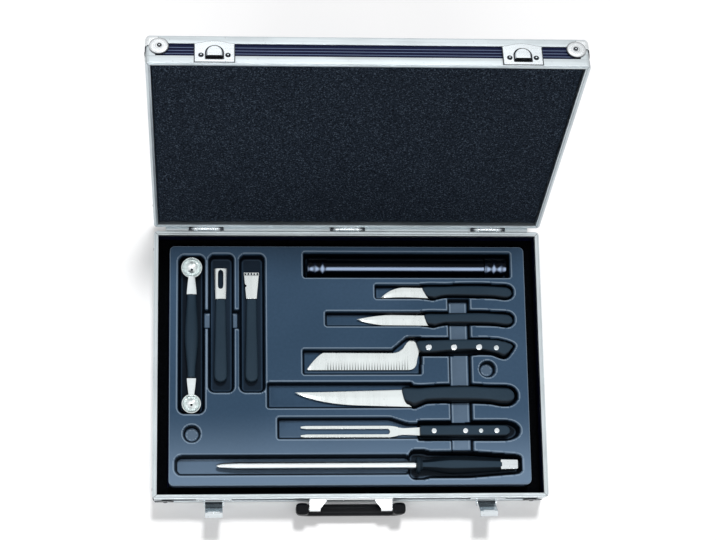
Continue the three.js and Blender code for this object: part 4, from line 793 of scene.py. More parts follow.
def lobe_outline(centre, count=4096):
    """Distance from a centre to the outline of the square joined to the disc, for each direction."""
    angle = np.linspace(-np.pi, np.pi, count)
    way = np.stack([np.cos(angle), np.sin(angle)])
    reach, middle, lobe = CORNER["reach"], CORNER["centre"], CORNER["lobe"]
    with np.errstate(divide="ignore"):
        walls = np.where(way > 0, (reach - centre) / way, -centre / way)
    square = walls.min(0)
    toward = (middle - centre) * way.sum(0)
    off = 2 * (middle - centre) ** 2 - toward**2
    disc = np.where(off < lobe**2, toward + np.sqrt(np.maximum(lobe**2 - off, 0)), 0)
    return angle, np.maximum(square, disc)


def corner_face(rings=14, spokes=72):
    """One face of the plate, flat at x = 0: distances along y and z from the case's corner."""
    centre, reach = CORNER["hub"], CORNER["reach"]
    angle, far = lobe_outline(centre)
    corners = [np.arctan2(v - centre, u - centre) for u, v in ((0, 0), (reach, 0), (0, reach))]
    even = np.linspace(-np.pi, np.pi, spokes, endpoint=False) + np.pi / 4
    turn = np.unique(np.round(np.concatenate([even, corners]), 9))
    turn = (turn + np.pi) % (2 * np.pi) - np.pi
    turn = np.unique(np.round(turn, 9))
    out = np.interp(turn, angle, far)
    share = np.linspace(0, 1, rings + 1)[:, None] ** 0.8
    share[0] = 0.001
    u, v = centre + share * out * np.cos(turn), centre + share * out * np.sin(turn)
    return np.stack([u, v], -1)


def folded(u, v):
    """Pushes a face's points on to the rounded corner: centre + radius * unit vector from the centre."""
    radius = CORNER_RADIUS
    middle = laid(radius, np.maximum(u, radius), np.maximum(v, radius))
    away = laid(0, u, v) - middle
    unit = away / np.linalg.norm(away, axis=-1, keepdims=True)
    dish = np.hypot(u - CORNER["centre"], v - CORNER["centre"])
    lift = CORNER["dish"] * share_of(CORNER["lobe"] - 1.2 - dish, 1.5) ** 2
    return middle + unit * (radius + lift[..., None])


print("a face of", corner_face()[..., 0].size, "points")

# %% Rivets and whole corner pieces


def dome(seat, direction, radius, height, sides=24):
    """A rivet head: a quarter ellipse turned about its line, on a short straight foot."""
    angle = np.linspace(0, np.pi / 2, 8)
    profile = np.column_stack([height * (0.3 + 0.7 * np.sin(angle)), radius * np.cos(angle)])
    profile[-1, 1] = radius * 0.02
    return spun(np.concatenate([[(-0.4, radius)], profile]), seat, direction, sides)


def skirts(count, sides=24):
    """How dark each ring of a rivet head is painted: its skirt gets a painted reflection of the dark case,
    its crown keeps the room's white.
    """
    ring = np.array([1.0, 1.0, 1.0, 1.0, 1.0, 0.95, 0.8, 0.3, 0.0])
    return np.tile(np.repeat(ring, sides), count)


def corner_plate():
    """Three faces by passing the axes round, then the case's corner at (0, 0, 0) with the case at -x, -y, +z.

    Beside the shape come two marks: the distance from the lobe's middle, and a painted shade line at the
    outline.
    """
    u, v = np.moveaxis(corner_face(), -1, 0)
    face = folded(u, v)
    rim = np.arange(u.shape[1])
    joined = []
    for turned in (face, face[..., [2, 0, 1]], face[..., [1, 2, 0]]):
        points, faces = woven(turned, round_columns=True)
        fan = np.stack([np.full(len(rim), len(points)), rim, np.roll(rim, -1)], -1)
        joined.append((np.concatenate([points, turned[0].mean(0)[None]]), [*faces, fan]))
    points, faces = together(*joined)
    lobe = np.hypot(u - CORNER["centre"], v - CORNER["centre"])
    middle = CORNER["hub"] - CORNER["centre"]
    marks = np.tile(np.append(lobe, math.hypot(middle, middle)), 3) * MM
    # Painted shade: a dark line along the outermost rings of each face.
    line = np.zeros_like(u)
    line[-1], line[-2] = 0.8, 0.3
    line = np.tile(np.append(line * np.clip(np.minimum(u, v) - 0.5, 0, 1), 0), 3)
    placed = points * (-1, -1, 1) + (CORNER["proud"], CORNER["proud"], CORNER["rise"])
    return (placed, flipped(faces)), marks, line


def corner_rivets():
    """The rivets of the two upright faces. The one on the flat face would stand in the panel's frame."""
    middle, proud = CORNER["centre"], CORNER["proud"]
    seats = [((proud + 0.3, -middle, middle), (1, 0, 0)), ((-middle, proud + 0.3, middle), (0, 1, 0))]
    return together(*(dome(seat, way, RIVET["radius"], RIVET["height"] - 0.3) for seat, way in seats))


def at_corner(points, quarter):
    """Quarter turns about Z, then out to that corner of the case."""
    cos, sin = (1, 0, -1, 0)[quarter], (0, 1, 0, -1)[quarter]
    turned = points @ np.array([(cos, sin, 0), (-sin, cos, 0), (0, 0, 1)])
    return turned + ((cos - sin) * WIDTH / 2, (cos + sin) * DEPTH / 2, 0)


print("a plate of", len(corner_plate()[0][0]), "points")

# %% Eight corners and their posts


def corner_posts(height, edge):
    """An angle strip up each corner, between the profiles: an arc and two legs, given a thickness."""
    leg, out, back = 11, GAP, BAND_INSET - 0.3
    bend = np.linspace(0, np.pi / 2, 9)
    arc = np.column_stack([np.cos(bend), np.sin(bend)])
    outer = (CORNER_RADIUS - out) * arc - CORNER_RADIUS
    inner = (CORNER_RADIUS - back) * arc - CORNER_RADIUS
    outline = np.concatenate([
        [(-out, -leg)], outer, [(-leg, -out), (-leg, -back)], inner[::-1], [(-back, -leg)],
    ])
    points, faces = prism(outline, edge + GAP, height - RIM_HEIGHT - GAP)
    return together(*((at_corner(points, quarter), faces) for quarter in range(4)))


PLACES = ["back_right", "back_left", "front_left", "front_right"]
(plate, lobes, lines), rivets = corner_plate(), corner_rivets()
for half, height, edge, turn in HALVES:
    for quarter in range(4):
        seen = PLACES[quarter] if half == "base" else PLACES[3 - quarter]
        shell = (at_corner(plate[0], quarter), plate[1])
        piece(f"{half}_corner_plate_{seen}", shell, half, STAMPED, "bright_sheet", [f"{half}_corner_{seen}"],
              turn, sheet=CORNER["sheet"], bevel=0.25, merge=0.02, lobe=lobes, fold=lines)
        heads = (at_corner(rivets[0], quarter), rivets[1])
        piece(f"{half}_corner_rivets_{seen}", heads, half, PLATED, "bright_sheet", (), turn, crease=50,
              fold=skirts(2))
for half, height, edge, turn in HALVES:
    piece(f"{half}_corner_posts", corner_posts(height, edge), half, EDGE_METAL, "satin_aluminium", (), turn)
print("plates with", len(plate[0]), "points each")

# %% [markdown]
# ## Panels and hinges
#
# The flat panels and the rail have the right shape in the model, so they keep it and get a finish. The
# hinge plates are made anew, with round knuckles, since these show in the joint strip.

# %% Panels and rail
for node, look in (("base_panel", PANEL_SKIN), ("lid_panel", PANEL_SKIN), ("hinge_rail", RAIL_METAL)):
    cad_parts[node].data.materials.clear()
    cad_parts[node].data.materials.append(look.material)
print("panels and rail finished")

# %% Hinges
HINGE = {"pitch": 183, "width": 45, "radius": 2.5, "pin": 1.2, "leaf": 1.5, "base_leaf": 20, "lid_leaf": 18}
END_KNUCKLE = 0.26


def knuckle(x0, x1):
    """A short tube round the pin, its edges eased."""
    y, z = HINGE_AXIS
    radius, ease, hole = HINGE["radius"], 0.3, HINGE["pin"] + 0.1
    length = x1 - x0
    profile = [
        (0, hole), (0, radius - ease), (ease, radius),
        (length - ease, radius), (length, radius - ease), (length, hole),
    ]
    return spun(profile, (x0, y, z), ALONG_X, sides=28)


def leaf(x, low, high, spans):
    """A plate with eased corners, a strap and a knuckle for each span along the pin, and three screws."""
    face = DEPTH / 2 + GAP
    half, sheet = HINGE["width"] / 2, HINGE["leaf"]
    plate = prism(softened(box_outline(x - half, x + half, low, high), 2.0), face, face + sheet, "xzy")
    near, far = min(low, HINGE_AXIS[1]), max(high, HINGE_AXIS[1])
    straps = [prism(box_outline(x + a, x + b, near, far), face, face + sheet, "xzy") for a, b in spans]
    tubes = [knuckle(x + a, x + b) for a, b in spans]
    seats = [(x + side * half * 0.62, face + sheet, (low + high) / 2) for side in (-1, 0, 1)]
    screws = [dome(seat, (0, 1, 0), radius=2.6, height=0.9, sides=20) for seat in seats]
    return together(plate, *straps, *tubes, *screws)


def shaded_ends(points, x):
    """Dark near the outer ends of the knuckles, where they turn down into the joint."""
    near = np.hypot(points[:, 1] - HINGE_AXIS[0], points[:, 2] - HINGE_AXIS[1]) < HINGE["radius"] + 0.1
    return share_of(np.abs(points[:, 0] - x) - HINGE["width"] / 2 + 4.5, 1.5) * near


half, end = HINGE["width"] / 2, HINGE["width"] * (0.5 - END_KNUCKLE)
pin_profile = [(0, 0.7), (0.4, 1.2), (2 * half - 1.0, 1.2), (2 * half - 0.6, 0.7)]
for index, name in enumerate(("left", "middle", "right")):
    x = (index - 1) * HINGE["pitch"]
    top = BASE_HEIGHT - HINGE["radius"] - GAP
    low = leaf(x, BASE_HEIGHT - HINGE["base_leaf"], top, [(-half, -end), (end, half)])
    piece(f"hinge_plate_{name}", low, "base", PLATED, "satin_aluminium", [f"hinge_base_leaf_{name}"],
          bevel=0.15, fold=shaded_ends(low[0], x))
    high = leaf(x, LID_PLANE + HINGE["radius"] + GAP, LID_PLANE + HINGE["lid_leaf"],
                [(-end + GAP, end - GAP)])
    piece(f"hinge_lid_plate_{name}", high, "lid", PLATED, "satin_aluminium", [f"hinge_lid_leaf_{name}"],
          lid_open, bevel=0.15)
    pin = spun(pin_profile, (x - half + GAP, *HINGE_AXIS), ALONG_X, sides=20)
    piece(f"hinge_rod_{name}", pin, "base", PLATED, "bright_sheet", [f"hinge_pin_{name}"])
print("three hinges")

# %% [markdown]
# ## Latches, strike plates and the carrying handle
#
# These are pressed from sheet. A sheet is a grid whose rows follow its side view and whose columns run across
# it, with the half width changing from row to row. Cells inside a slot are left out, a hood is a smooth push
# outwards, and a wall thickness is given last.

# %% Pressed sheets


def resampled(corners, radii, count):
    """Points at even distances along an open line whose inner corners are rounded."""
    corners = np.asarray(corners, float)
    bends = softened(corners, radii, 5).reshape(len(corners), -1, 2)[1:-1]
    curve = np.concatenate([corners[:1], bends.reshape(-1, 2), corners[-1:]])
    walk = np.concatenate([[0], np.cumsum(np.linalg.norm(np.diff(curve, axis=0), axis=1))])
    at = np.linspace(0, walk[-1], count)
    return np.column_stack([np.interp(at, walk, curve[:, 0]), np.interp(at, walk, curve[:, 1])])


def without(shape, hidden):
    """Leaves out the quads whose middle a test hides."""
    points, faces = shape
    middle = points[faces[0]].mean(1)
    return points, [faces[0][~hidden(middle)]]


def stepped(x, half_widths, top, foot, sheet, columns=49):
    """A plate that lies on the rim and steps back on to the wall below, and marks for its painted shade
    outline.
    """
    bend = BASE_HEIGHT - RIM_HEIGHT - GAP - sheet
    front, back = FRONT_FACE - sheet, RECESS_FACE - sheet
    line = resampled([(front, top), (front, bend), (back, bend), (back, foot)], radii=0.9, count=56)
    half = np.interp(line[:, 1], *half_widths)
    across = np.linspace(-1, 1, columns)
    side = half[:, None] * (1 - np.abs(across))
    # Painted shade: a dark line down each side and along the bend.
    fold = np.abs(line[:, 1] - bend)[:, None]
    marks = np.maximum(fading(side, 0.9) * 0.8, fading(fold, 0.9) * 0.7)
    return woven(laid(x + half[:, None] * across, line[:, :1], line[:, 1:])), marks


print("bends at", BASE_HEIGHT - RIM_HEIGHT - GAP)

# %% Shapes of the latches
LATCH = {
    "spacing": 346, "width": 46, "waist": 31, "taper": (36.2, 43.7), "sheet": 1.2, "top": 52.6, "foot": 20,
    "pivot": 34, "out": 4.5, "ear": 4.4, "cheek": 1.2, "hasp": 22, "curl": 3.6, "tooth": (7.5, 2.6),
    "open": 34,
}
LATCH_AXIS = (-DEPTH / 2 - LATCH["out"], LATCH["pivot"])
STRIKE_FOOT, STRIKE_BAR, SLOT_HEIGHT = LID_PLANE + GAP, 3.6, 4.0
# Places along the hasp, as shares of its length, and how much painted shade each band gets.
BAND_PLACES = [0.12, 0.18, 0.4, 0.45, 0.52, 0.57, 0.74, 0.77, 0.8, 0.84]
BAND_TONES = [0.6, 0, 0, 0.5, 0.5, 0.1, 0.1, 0.45, 0.45, 0]


def ear(x0, x1):
    """One cheek of the latch: a round end about the pin, joined to the wall by a block."""
    y, z = LATCH_AXIS
    radius, back = LATCH["ear"], RECESS_FACE - LATCH["sheet"] / 2
    angle = np.linspace(np.pi / 2, 3 * np.pi / 2, 16)
    outline = np.column_stack([y + radius * np.cos(angle), z + radius * np.sin(angle)])
    outline = np.concatenate([outline, [(back, z - radius), (back, z + radius)]])
    return prism(outline, x0, x1, "yzx")


def hasp_outline():
    """The hasp's side view, shut and upright, with its curled end and three wavy ridges on its face."""
    near = -(LATCH_AXIS[0] - (FRONT_FACE - LATCH["sheet"] - 0.8))
    far = near - 1.5
    tooth = LATCH["tooth"][1]
    tooth_low = STRIKE_FOOT + STRIKE_BAR + (SLOT_HEIGHT - tooth) / 2 - LATCH["pivot"]
    top, curl = tooth_low + tooth, LATCH["curl"]
    z = np.linspace(0, top - curl, 60)
    ridge = 0.5 * np.clip(np.cos((z / top - 0.6) / 0.15 * 2 * np.pi), 0, 1) * (np.abs(z / top - 0.6) < 0.2)
    outer = np.column_stack([far - ridge, z])
    tip = [
        (far - curl * 0.35, top - curl * 0.3), (far - curl * 1.1, top + curl * 0.4),
        (far - curl, top + curl * 0.9), (near - curl * 0.65, top + curl * 0.1),
    ]
    back = np.column_stack([np.full(40, near), np.linspace(top - 1.0, 0, 40)])
    return np.concatenate([outer, tip, back]), tooth_low, top, near


def hasp_shape():
    """The hasp's side view carried across, a tooth, a barrel round the pin, and marks for its bands of
    painted shade.
    """
    outline, tooth_low, tooth_high, near = hasp_outline()
    half, wide, long = LATCH["hasp"] / 2, LATCH["tooth"][0], LATCH["hasp"]
    plate = prism(outline, -half, half, "yzx")
    end = softened(box_outline(-wide, wide, tooth_low, tooth_high), 0.6)
    tooth = prism(end, near - 0.3, FRONT_FACE - LATCH_AXIS[0], "xzy")
    profile = [(0, 1.3), (0, 2.2), (0.4, 2.6), (long - 0.4, 2.6), (long, 2.2), (long, 1.3)]
    shape = together(plate, tooth, spun(profile, (-half, 0, 0), ALONG_X))
    return shape, np.interp(shape[0][:, 2] / tooth_high, BAND_PLACES, BAND_TONES)


print("hasps", round(hasp_outline()[2], 1), "mm long")

# %% Both latches
for side, name in ((-1, "left"), (1, "right")):
    x = side * LATCH["spacing"] / 2
    wide = (LATCH["taper"], (LATCH["waist"] / 2, LATCH["width"] / 2))
    plate, marks = stepped(x, wide, LATCH["top"], LATCH["foot"], LATCH["sheet"])
    piece(f"latch_sheet_{name}", plate, "base", PLATED, "bright_sheet", [f"latch_plate_{name}"],
          sheet=LATCH["sheet"], bevel=0.25, fold=marks)
    inner, cheek = LATCH["hasp"] / 2 + GAP, LATCH["cheek"]
    cheeks = together(ear(x - inner - cheek, x - inner), ear(x + inner, x + inner + cheek))
    piece(f"latch_cheeks_{name}", cheeks, "base", PLATED, "bright_sheet", bevel=0.3)
    near, far = 1.5, 2 * inner + 1.5
    profile = [(0, 1.0), (0.3, 1.7), (near, 1.7), (near, 1.2), (far, 1.2), (far, 1.7), (far + 1.2, 1.7),
               (far + 1.5, 1.0)]
    rod = spun(profile, (x - inner - near, *LATCH_AXIS), ALONG_X, sides=24)
    piece(f"latch_rod_{name}", rod, "base", PLATED, "bright_sheet", crease=40)

    def opened(points, x=x):
        return swung(points + (x, *LATCH_AXIS), LATCH["open"], *LATCH_AXIS)

    lever, bands = hasp_shape()
    piece(f"latch_lever_{name}", lever, f"{name}_hasp", PLATED, "bright_sheet", [f"latch_hasp_{name}"],
          opened, bevel=0.25, fold=bands)
print("two latches")

# %% Shape of a strike plate
STRIKE = {"height": 29.5, "shoulder": 24, "slot": 19.6, "hood": 18.8, "hood_height": 14.4, "depth": 2.6,
          "straight": 22, "well_shade": 9.6, "rivet_x": 15, "rivet_z": 9.6}


def strike_plate(x):
    """An arched plate as rows of heights, a D-shaped hood pushed out above an open slot, and painted shade
    lines.
    """
    half, arch, straight = LATCH["width"] / 2, LATCH["width"] / 2 * 0.7, STRIKE["straight"]
    slot_half, slot_top = STRIKE["slot"] / 2, STRIKE_BAR + SLOT_HEIGHT
    across = np.unique(np.concatenate([np.linspace(-half, half, 93), [-slot_half, slot_half]]))
    off = np.abs(across)
    foot = STRIKE["shoulder"] + STRIKE["depth"]
    crown = foot + (STRIKE["height"] - foot) * (1 - (across / arch) ** 2)
    drop = np.sqrt(np.clip(1 - ((off - arch) / (half - arch)) ** 2, 0, 1))
    top = np.where(off < arch, crown, STRIKE["shoulder"] + STRIKE["depth"] * drop)
    rows = np.unique(np.concatenate([np.linspace(0, straight, 45), [STRIKE_BAR, slot_top]]))
    upper = np.linspace(0, 1, 10)[1:]
    z = np.concatenate([np.repeat(rows[:, None], len(across), 1),
                        straight + (top - straight) * upper[:, None]])
    middle = slot_top + STRIKE["hood_height"] - STRIKE["hood"] / 2
    inside = STRIKE["hood"] / 2 - np.where(z > middle, np.hypot(across, z - middle), off)
    t = share_of(inside, 1.7) * (z > slot_top - 0.1)
    push = STRIKE["depth"] * t * t * (3 - 2 * t)
    points = laid(x + across, FRONT_FACE - LATCH["sheet"] - push, STRIKE_FOOT + z)
    # Painted shade: dark lines at the border, down the sides below the shoulder, round the hood's foot and
    # round each rivet.
    border = np.minimum(np.minimum(half - off, top - z), z)
    rivet = np.hypot(off - STRIKE["rivet_x"], z - STRIKE["rivet_z"]) - RIVET["radius"]
    side = fading(half - off, 1.1, 1.6) * (z < STRIKE["shoulder"])
    outline = fading(np.abs(inside + 0.4), 0.9, 1.5) * (z > STRIKE_BAR)
    shade_lines = [fading(border, 0.8, 1.3) * 0.6, side * 0.8, outline * 0.9, fading(rivet, 0.9, 1.2) * 0.7]
    low = STRIKE_FOOT + STRIKE_BAR

    def slot(middle):
        height = middle[:, 2]
        return (np.abs(middle[:, 0] - x) < slot_half) & (height > low) & (height < low + SLOT_HEIGHT)

    return without(woven(points), slot), np.maximum.reduce(shade_lines)


print("a strike plate of", len(strike_plate(0)[0][1][0]), "faces")

# %% Both strike plates
for side, name in ((-1, "left"), (1, "right")):
    x = side * LATCH["spacing"] / 2
    plate, marks = strike_plate(x)
    piece(f"strike_sheet_{name}", plate, "lid", PLATED, "bright_sheet", [f"strike_plate_{name}"], lid_open,
          sheet=-LATCH["sheet"], bevel=0.25, fold=marks)
    rivet_y, rivet_z = FRONT_FACE - LATCH["sheet"], STRIKE_FOOT + STRIKE["rivet_z"]
    seats = [(x + way * STRIKE["rivet_x"], rivet_y, rivet_z) for way in (-1, 1)]
    heads = together(*(dome(seat, (0, -1, 0), RIVET["radius"], RIVET["height"]) for seat in seats))
    piece(f"strike_rivets_{name}", heads, "lid", PLATED, "bright_sheet", (), lid_open, crease=50,
          fold=skirts(2))
    low = STRIKE_FOOT + STRIKE_BAR
    # A dark sheet behind the slot is painted shade: it stands for the shadow inside the slot.
    mouth = box_outline(x - STRIKE["well_shade"], x + STRIKE["well_shade"], low, low + SLOT_HEIGHT)
    well_shade = prism(mouth, -DEPTH / 2 - 0.15, -DEPTH / 2 + 0.2, "xzy")
    piece(f"strike_slot_shade_{name}", well_shade, "lid", GRIP, "bright_sheet", (), lid_open)
print("two strike plates")

# %% Shapes of the carrying handle
BRACKET = {"width": 105, "foot": 19, "wide": 25, "narrow": 14, "sheet": 1.5, "knuckle": 3.1}
HANDLE_GRIP = {"length": 139, "arm": 16.4, "thickness": 15, "bar": 15, "reach": 29, "crown": 6, "out": 12,
               "height": 37}
GRIP_AXIS = (-DEPTH / 2 - HANDLE_GRIP["out"], HANDLE_GRIP["height"])


def lug(side):
    """A cover folded from the wall out and down round the pin, narrower at its outer end."""
    y, z = GRIP_AXIS
    radius, half = BRACKET["knuckle"], BRACKET["width"] / 2
    bend = np.linspace(np.pi / 2, 1.5 * np.pi, 14)
    top = np.linspace((RECESS_FACE - 0.7, z + radius + 1.5), (y + 0.5, z + radius), 14)
    line = np.concatenate([top, np.column_stack([y + radius * np.cos(bend), z + radius * np.sin(bend)])])
    share = np.clip((RECESS_FACE - line[:, 0]) / (RECESS_FACE - y), 0, 1)
    inner = half - BRACKET["wide"] + share * (BRACKET["wide"] - BRACKET["narrow"])
    x = side * (inner[:, None] + (half - inner[:, None]) * np.linspace(0, 1, 12))
    points, faces = woven(laid(x, line[:, :1], line[:, 1:]))
    return points, faces if side > 0 else flipped(faces)


def grip_shape(stations=120, sides=40):
    """A rounded-square section swept along a U: middle + across * normal + out * Y, domed at both ends."""
    arm, bar, deep = HANDLE_GRIP["arm"], HANDLE_GRIP["bar"], HANDLE_GRIP["thickness"]
    half = HANDLE_GRIP["length"] / 2 - arm / 2
    top, low = HANDLE_GRIP["crown"], -HANDLE_GRIP["reach"] + bar / 2
    line = resampled([(-half, top), (-half, low), (half, low), (half, top)], radii=15, count=stations)
    way = np.gradient(line, axis=0)
    way /= np.linalg.norm(way, axis=1, keepdims=True)
    walk = np.linspace(0, 1, stations) * (2 * half + 2 * (top - low))
    close = quarter_arc(np.minimum(walk, walk[-1] - walk), 4) * 0.45 + 0.55
    wide = (arm + (bar - arm) * np.abs(way[:, 0])) / 2 * close
    across, out = rounded_square(sides, 0.6)
    x = line[:, :1] - way[:, 1:] * wide[:, None] * across
    z = line[:, 1:] + way[:, :1] * wide[:, None] * across + GRIP_AXIS[1]
    y = GRIP_AXIS[0] + (deep / 2 * close)[:, None] * out
    return outwards(woven(laid(x, y, z), round_columns=True, ends=True))


print("a grip of", len(grip_shape()[0]), "points")

# %% Carrying handle
wide = ([0, BASE_HEIGHT], [BRACKET["width"] / 2] * 2)
plate, _ = stepped(0, wide, LATCH["top"], BRACKET["foot"], BRACKET["sheet"])
piece("handle_sheet", plate, "base", POLISHED, "bright_sheet", ["handle_bracket"], sheet=BRACKET["sheet"],
      bevel=0.3)
piece("handle_lugs", together(lug(-1), lug(1)), "base", POLISHED, "bright_sheet", sheet=BRACKET["sheet"],
      bevel=0.3)
reach = BRACKET["width"] / 2 + 0.3 + HANDLE_GRIP["arm"] * 0.7
profile = [(0, 1.2), (0.4, 1.8), (24.6, 1.8), (25, 1.2)]
pins = [spun(profile, (side * reach, *GRIP_AXIS), (-side, 0, 0), sides=20) for side in (-1, 1)]
piece("handle_pins", together(*pins), "base", PLATED, "bright_sheet")
piece("carrying_grip", grip_shape(), "grip", GRIP, "grip_plastic", ["handle_grip"], crease=50)
print("the grip hangs at y", GRIP_AXIS[0])

# %% [markdown]
# ## Foam
#
# A foam ring fills the space between the walls and the tray, and a foam slab lines the lid. Foam has no
# crisp edge, so each is a closed shape with rolled edges. The ring is a section carried round the case, and
# the slab is a height over a grid, with a slight swell.

# %% Foam ring and lid slab
TRAY_X, RING_GAP, RING_HEIGHT = 229.8, 2.4, 19


def foam_ring():
    """A flat-topped ring round the tray, its inner and outer edges rolled over."""
    low, high = PANEL + GAP, PANEL + GAP + RING_HEIGHT
    inner = WIDTH / 2 - (TRAY_X + RING_GAP)
    corners = [(BAND_INNER + GAP, low), (BAND_INNER + GAP, high), (inner, high), (inner, low)]
    return round_case(softened(corners, [0.5, 2.0, 2.0, 0.5], 5), steps=6)


def foam_slab():
    """A pad: its face is a grid over its plan, rolled down by a quarter circle near its border."""
    inset = RIM_WIDTH + GAP
    half_x, half_y = WIDTH / 2 - inset, DEPTH / 2 - inset
    low, high = LID_PLANE + 4, LID_PLANE + LID_HEIGHT - PANEL - GAP
    border, roll_radius = np.array([0, 0.15, 0.5, 1.1, 2.0, 3.2, 5, 9, 16]), 3.0

    def lines(half, count):
        return np.concatenate([-half + border, np.linspace(-half + 24, half - 24, count),
                               (half - border)[::-1]])

    xs, ys = np.meshgrid(lines(half_x, 60), lines(half_y, 42), indexing="ij")
    edge = np.minimum(half_x - np.abs(xs), half_y - np.abs(ys))
    inwards = np.clip(roll_radius - edge, 0, roll_radius)
    roll = roll_radius - np.sqrt(np.maximum(roll_radius**2 - inwards**2, 0))
    wave = 0.25 * np.sin(xs * 0.045 + 1) * np.sin(ys * 0.06) * share_of(edge, 20)
    front, rear = woven(laid(xs, ys, low + roll + 0.3 + wave)), woven(laid(xs, ys, high))
    loop, count = border_loop(*xs.shape), xs.size
    side = np.stack([loop, np.roll(loop, -1), np.roll(loop, -1) + count, loop + count], -1)
    points = np.concatenate([front[0], rear[0]])
    faces = [front[1][0][:, ::-1], rear[1][0] + count, side[:, ::-1]]
    return outwards((points, faces))


# The ring wears the foam painted darker as shade.
ring = piece("foam_ring", foam_ring(), "base", SHADED_FOAM, "foam", ["foam_frame"])
slab = piece("foam_slab", foam_slab(), "lid", FOAM, "foam", ["lid_foam"], lid_open)

# %% [markdown]
# ## Handles and their shapes
#
# A moulded handle is a row of sections along its length. A short table gives, for each place along it, how
# far its middle lies to one side, its width and its height, all as shares. A smooth curve through the table
# gives as many sections as wanted. The same table draws the pocket that the handle lies in.

# %% Handle tables
SMALL_TABLE = np.array([
    (-0.052, 0.0, 0.86, 0.5), (0.0, 0.0, 0.94, 0.72), (0.06, -0.03, 1.02, 0.84), (0.12, 0.01, 0.92, 0.9),
    (0.22, 0.06, 0.8, 0.96), (0.42, 0.09, 0.86, 1), (0.62, 0.08, 0.9, 1), (0.78, 0.04, 0.88, 0.98),
    (0.9, -0.03, 0.94, 0.95), (1, -0.08, 0.9, 0.9),
])
OFFSET_TABLE = np.array([
    (0, 0.03, 0.98, 0.8), (0.044, 0.014, 0.98, 0.92), (0.107, 0.03, 0.99, 1), (0.376, 0.13, 0.865, 1),
    (0.541, 0.16, 0.827, 1), (0.644, 0.154, 0.83, 1), (0.756, 0.084, 0.946, 1), (0.836, 0.008, 1.065, 1),
    (0.899, -0.114, 1.146, 0.98), (0.943, -0.08, 0.865, 0.96), (0.979, 0.03, 0.4, 0.92),
    (1, 0.05, 0.04, 0.86),
])
BONING_TABLE = np.array([
    (-0.0315, 0, 0.9, 0.5), (0, -0.02, 0.98, 0.7), (0.05, -0.1, 1.14, 0.87), (0.1, -0.06, 1, 0.95),
    (0.18, 0.04, 0.84, 0.98), (0.35, 0.08, 0.86, 1), (0.55, 0.08, 0.9, 1), (0.75, 0.03, 0.88, 1),
    (0.88, -0.04, 0.98, 1), (1, -0.06, 0.98, 0.94),
])
FORK_TABLE = np.array([
    (0, 0, 0.94, 0.9), (0.04, 0, 0.98, 1), (0.5, 0, 1, 1), (0.85, 0, 1.02, 1), (0.96, 0, 0.98, 1),
    (1, 0, 0.9, 0.95),
])
BALLER_TABLE = np.array([
    (0, 0, 0.66, 0.66), (0.1, 0, 0.72, 0.72), (0.3, 0, 0.9, 0.9), (0.5, 0, 1, 1), (0.7, 0, 0.84, 0.84),
    (0.9, 0, 0.6, 0.6), (1, 0, 0.56, 0.54),
])
SMALL_TOOL_TABLE = np.array([
    (0, 0, 0.76, 0.8), (0.06, 0, 0.8, 0.86), (0.3, 0, 0.84, 0.94), (0.5, 0, 0.91, 1), (0.7, 0, 0.97, 1),
    (0.86, 0, 1, 0.98), (1, 0, 0.94, 0.9),
])


def handle_of(table, start, length, row, width, height, z):
    """A handle's table, where its shares start, what they are shares of, and its row and height."""
    sizes = {"start": start, "length": length, "row": row, "width": width, "height": height, "z": z}
    return {"table": table, **sizes}


HANDLES = {
    "turning_knife": handle_of(SMALL_TABLE, 102.3, 111.2, 94, 17.5, 13, 40.3),
    "paring_knife": handle_of(SMALL_TABLE, 102.3, 111.2, 58, 17.5, 13, 40.3),
    "offset_knife": handle_of(OFFSET_TABLE, 91.5, 121, 21.5, 18.5, 15, 40.3),
    "boning_knife": handle_of(BONING_TABLE, 75, 137, -41, 23, 17, 41.3),
    "meat_fork": handle_of(FORK_TABLE, 89.5, 115.7, -86.8, 15.4, 14, 39.8),
}
OFFSET_POCKET = np.array([
    (88, 9.2), (88, 34), (156, 33.6), (178, 33.8), (193, 32.9), (205.3, 30), (213, 26.6), (216.2, 22.9),
    (211.2, 14), (205.4, 7.2), (200.6, 4.7), (194.5, 6), (183.7, 10.4), (168.5, 10.8), (155.5, 9.4), (120, 9),
])


def followed(handle, side, end_room, count=40):
    """The pocket round a handle: its two edges moved out, and a round end as half an ellipse."""
    table = handle["table"]
    last = 0.9
    along = np.linspace(table[0, 0], last, count)
    middle, wide = (eased(along, table[:, 0], table[:, column]) for column in (1, 2))
    x = handle["start"] + along * handle["length"]
    x[0] -= 3.4
    low = handle["row"] + (middle - wide / 2) * handle["width"] - side
    high = handle["row"] + (middle + wide / 2) * handle["width"] + side
    angle = np.linspace(-np.pi / 2, np.pi / 2, 25)[1:-1]
    reach = (1 - last) * handle["length"] + end_room
    half, centre = (high[-1] - low[-1]) / 2, (high[-1] + low[-1]) / 2
    end = np.column_stack([x[-1] + reach * np.cos(angle) ** 0.8, centre + half * np.sin(angle)])
    return np.concatenate([np.column_stack([x, low]), end, np.column_stack([x, high])[::-1]])


print(len(HANDLES), "long handles")

# %% [markdown]
# ## The formed tray
#
# The tray is one sheet drawn down over a mould, so it is a height over a grid. For each pocket the depth
# inside its outline is worked out for every place of the grid at once. A profile turns this depth into a
# height: a rolled lip, a wall that leans outwards and a rounded foot. Where pockets meet, the lowest height
# wins. Places near the start or end of a bend are then slid along the slope on to it, which keeps each bend
# crisp and smooth.

# %% Depth inside an outline
TRAY_FRONT, TRAY_BACK, TRAY_TOP, TRAY_CORNER = -155.8, 153.4, 50, 6.5
TRAY_SIDES = (-TRAY_X, TRAY_X, TRAY_FRONT, TRAY_BACK)
LIP, FOOT, LEAN = 1.5, 1.9, 0.15
TRAY_FOOT = PANEL + GAP
OUTER_ROLL = 1.8


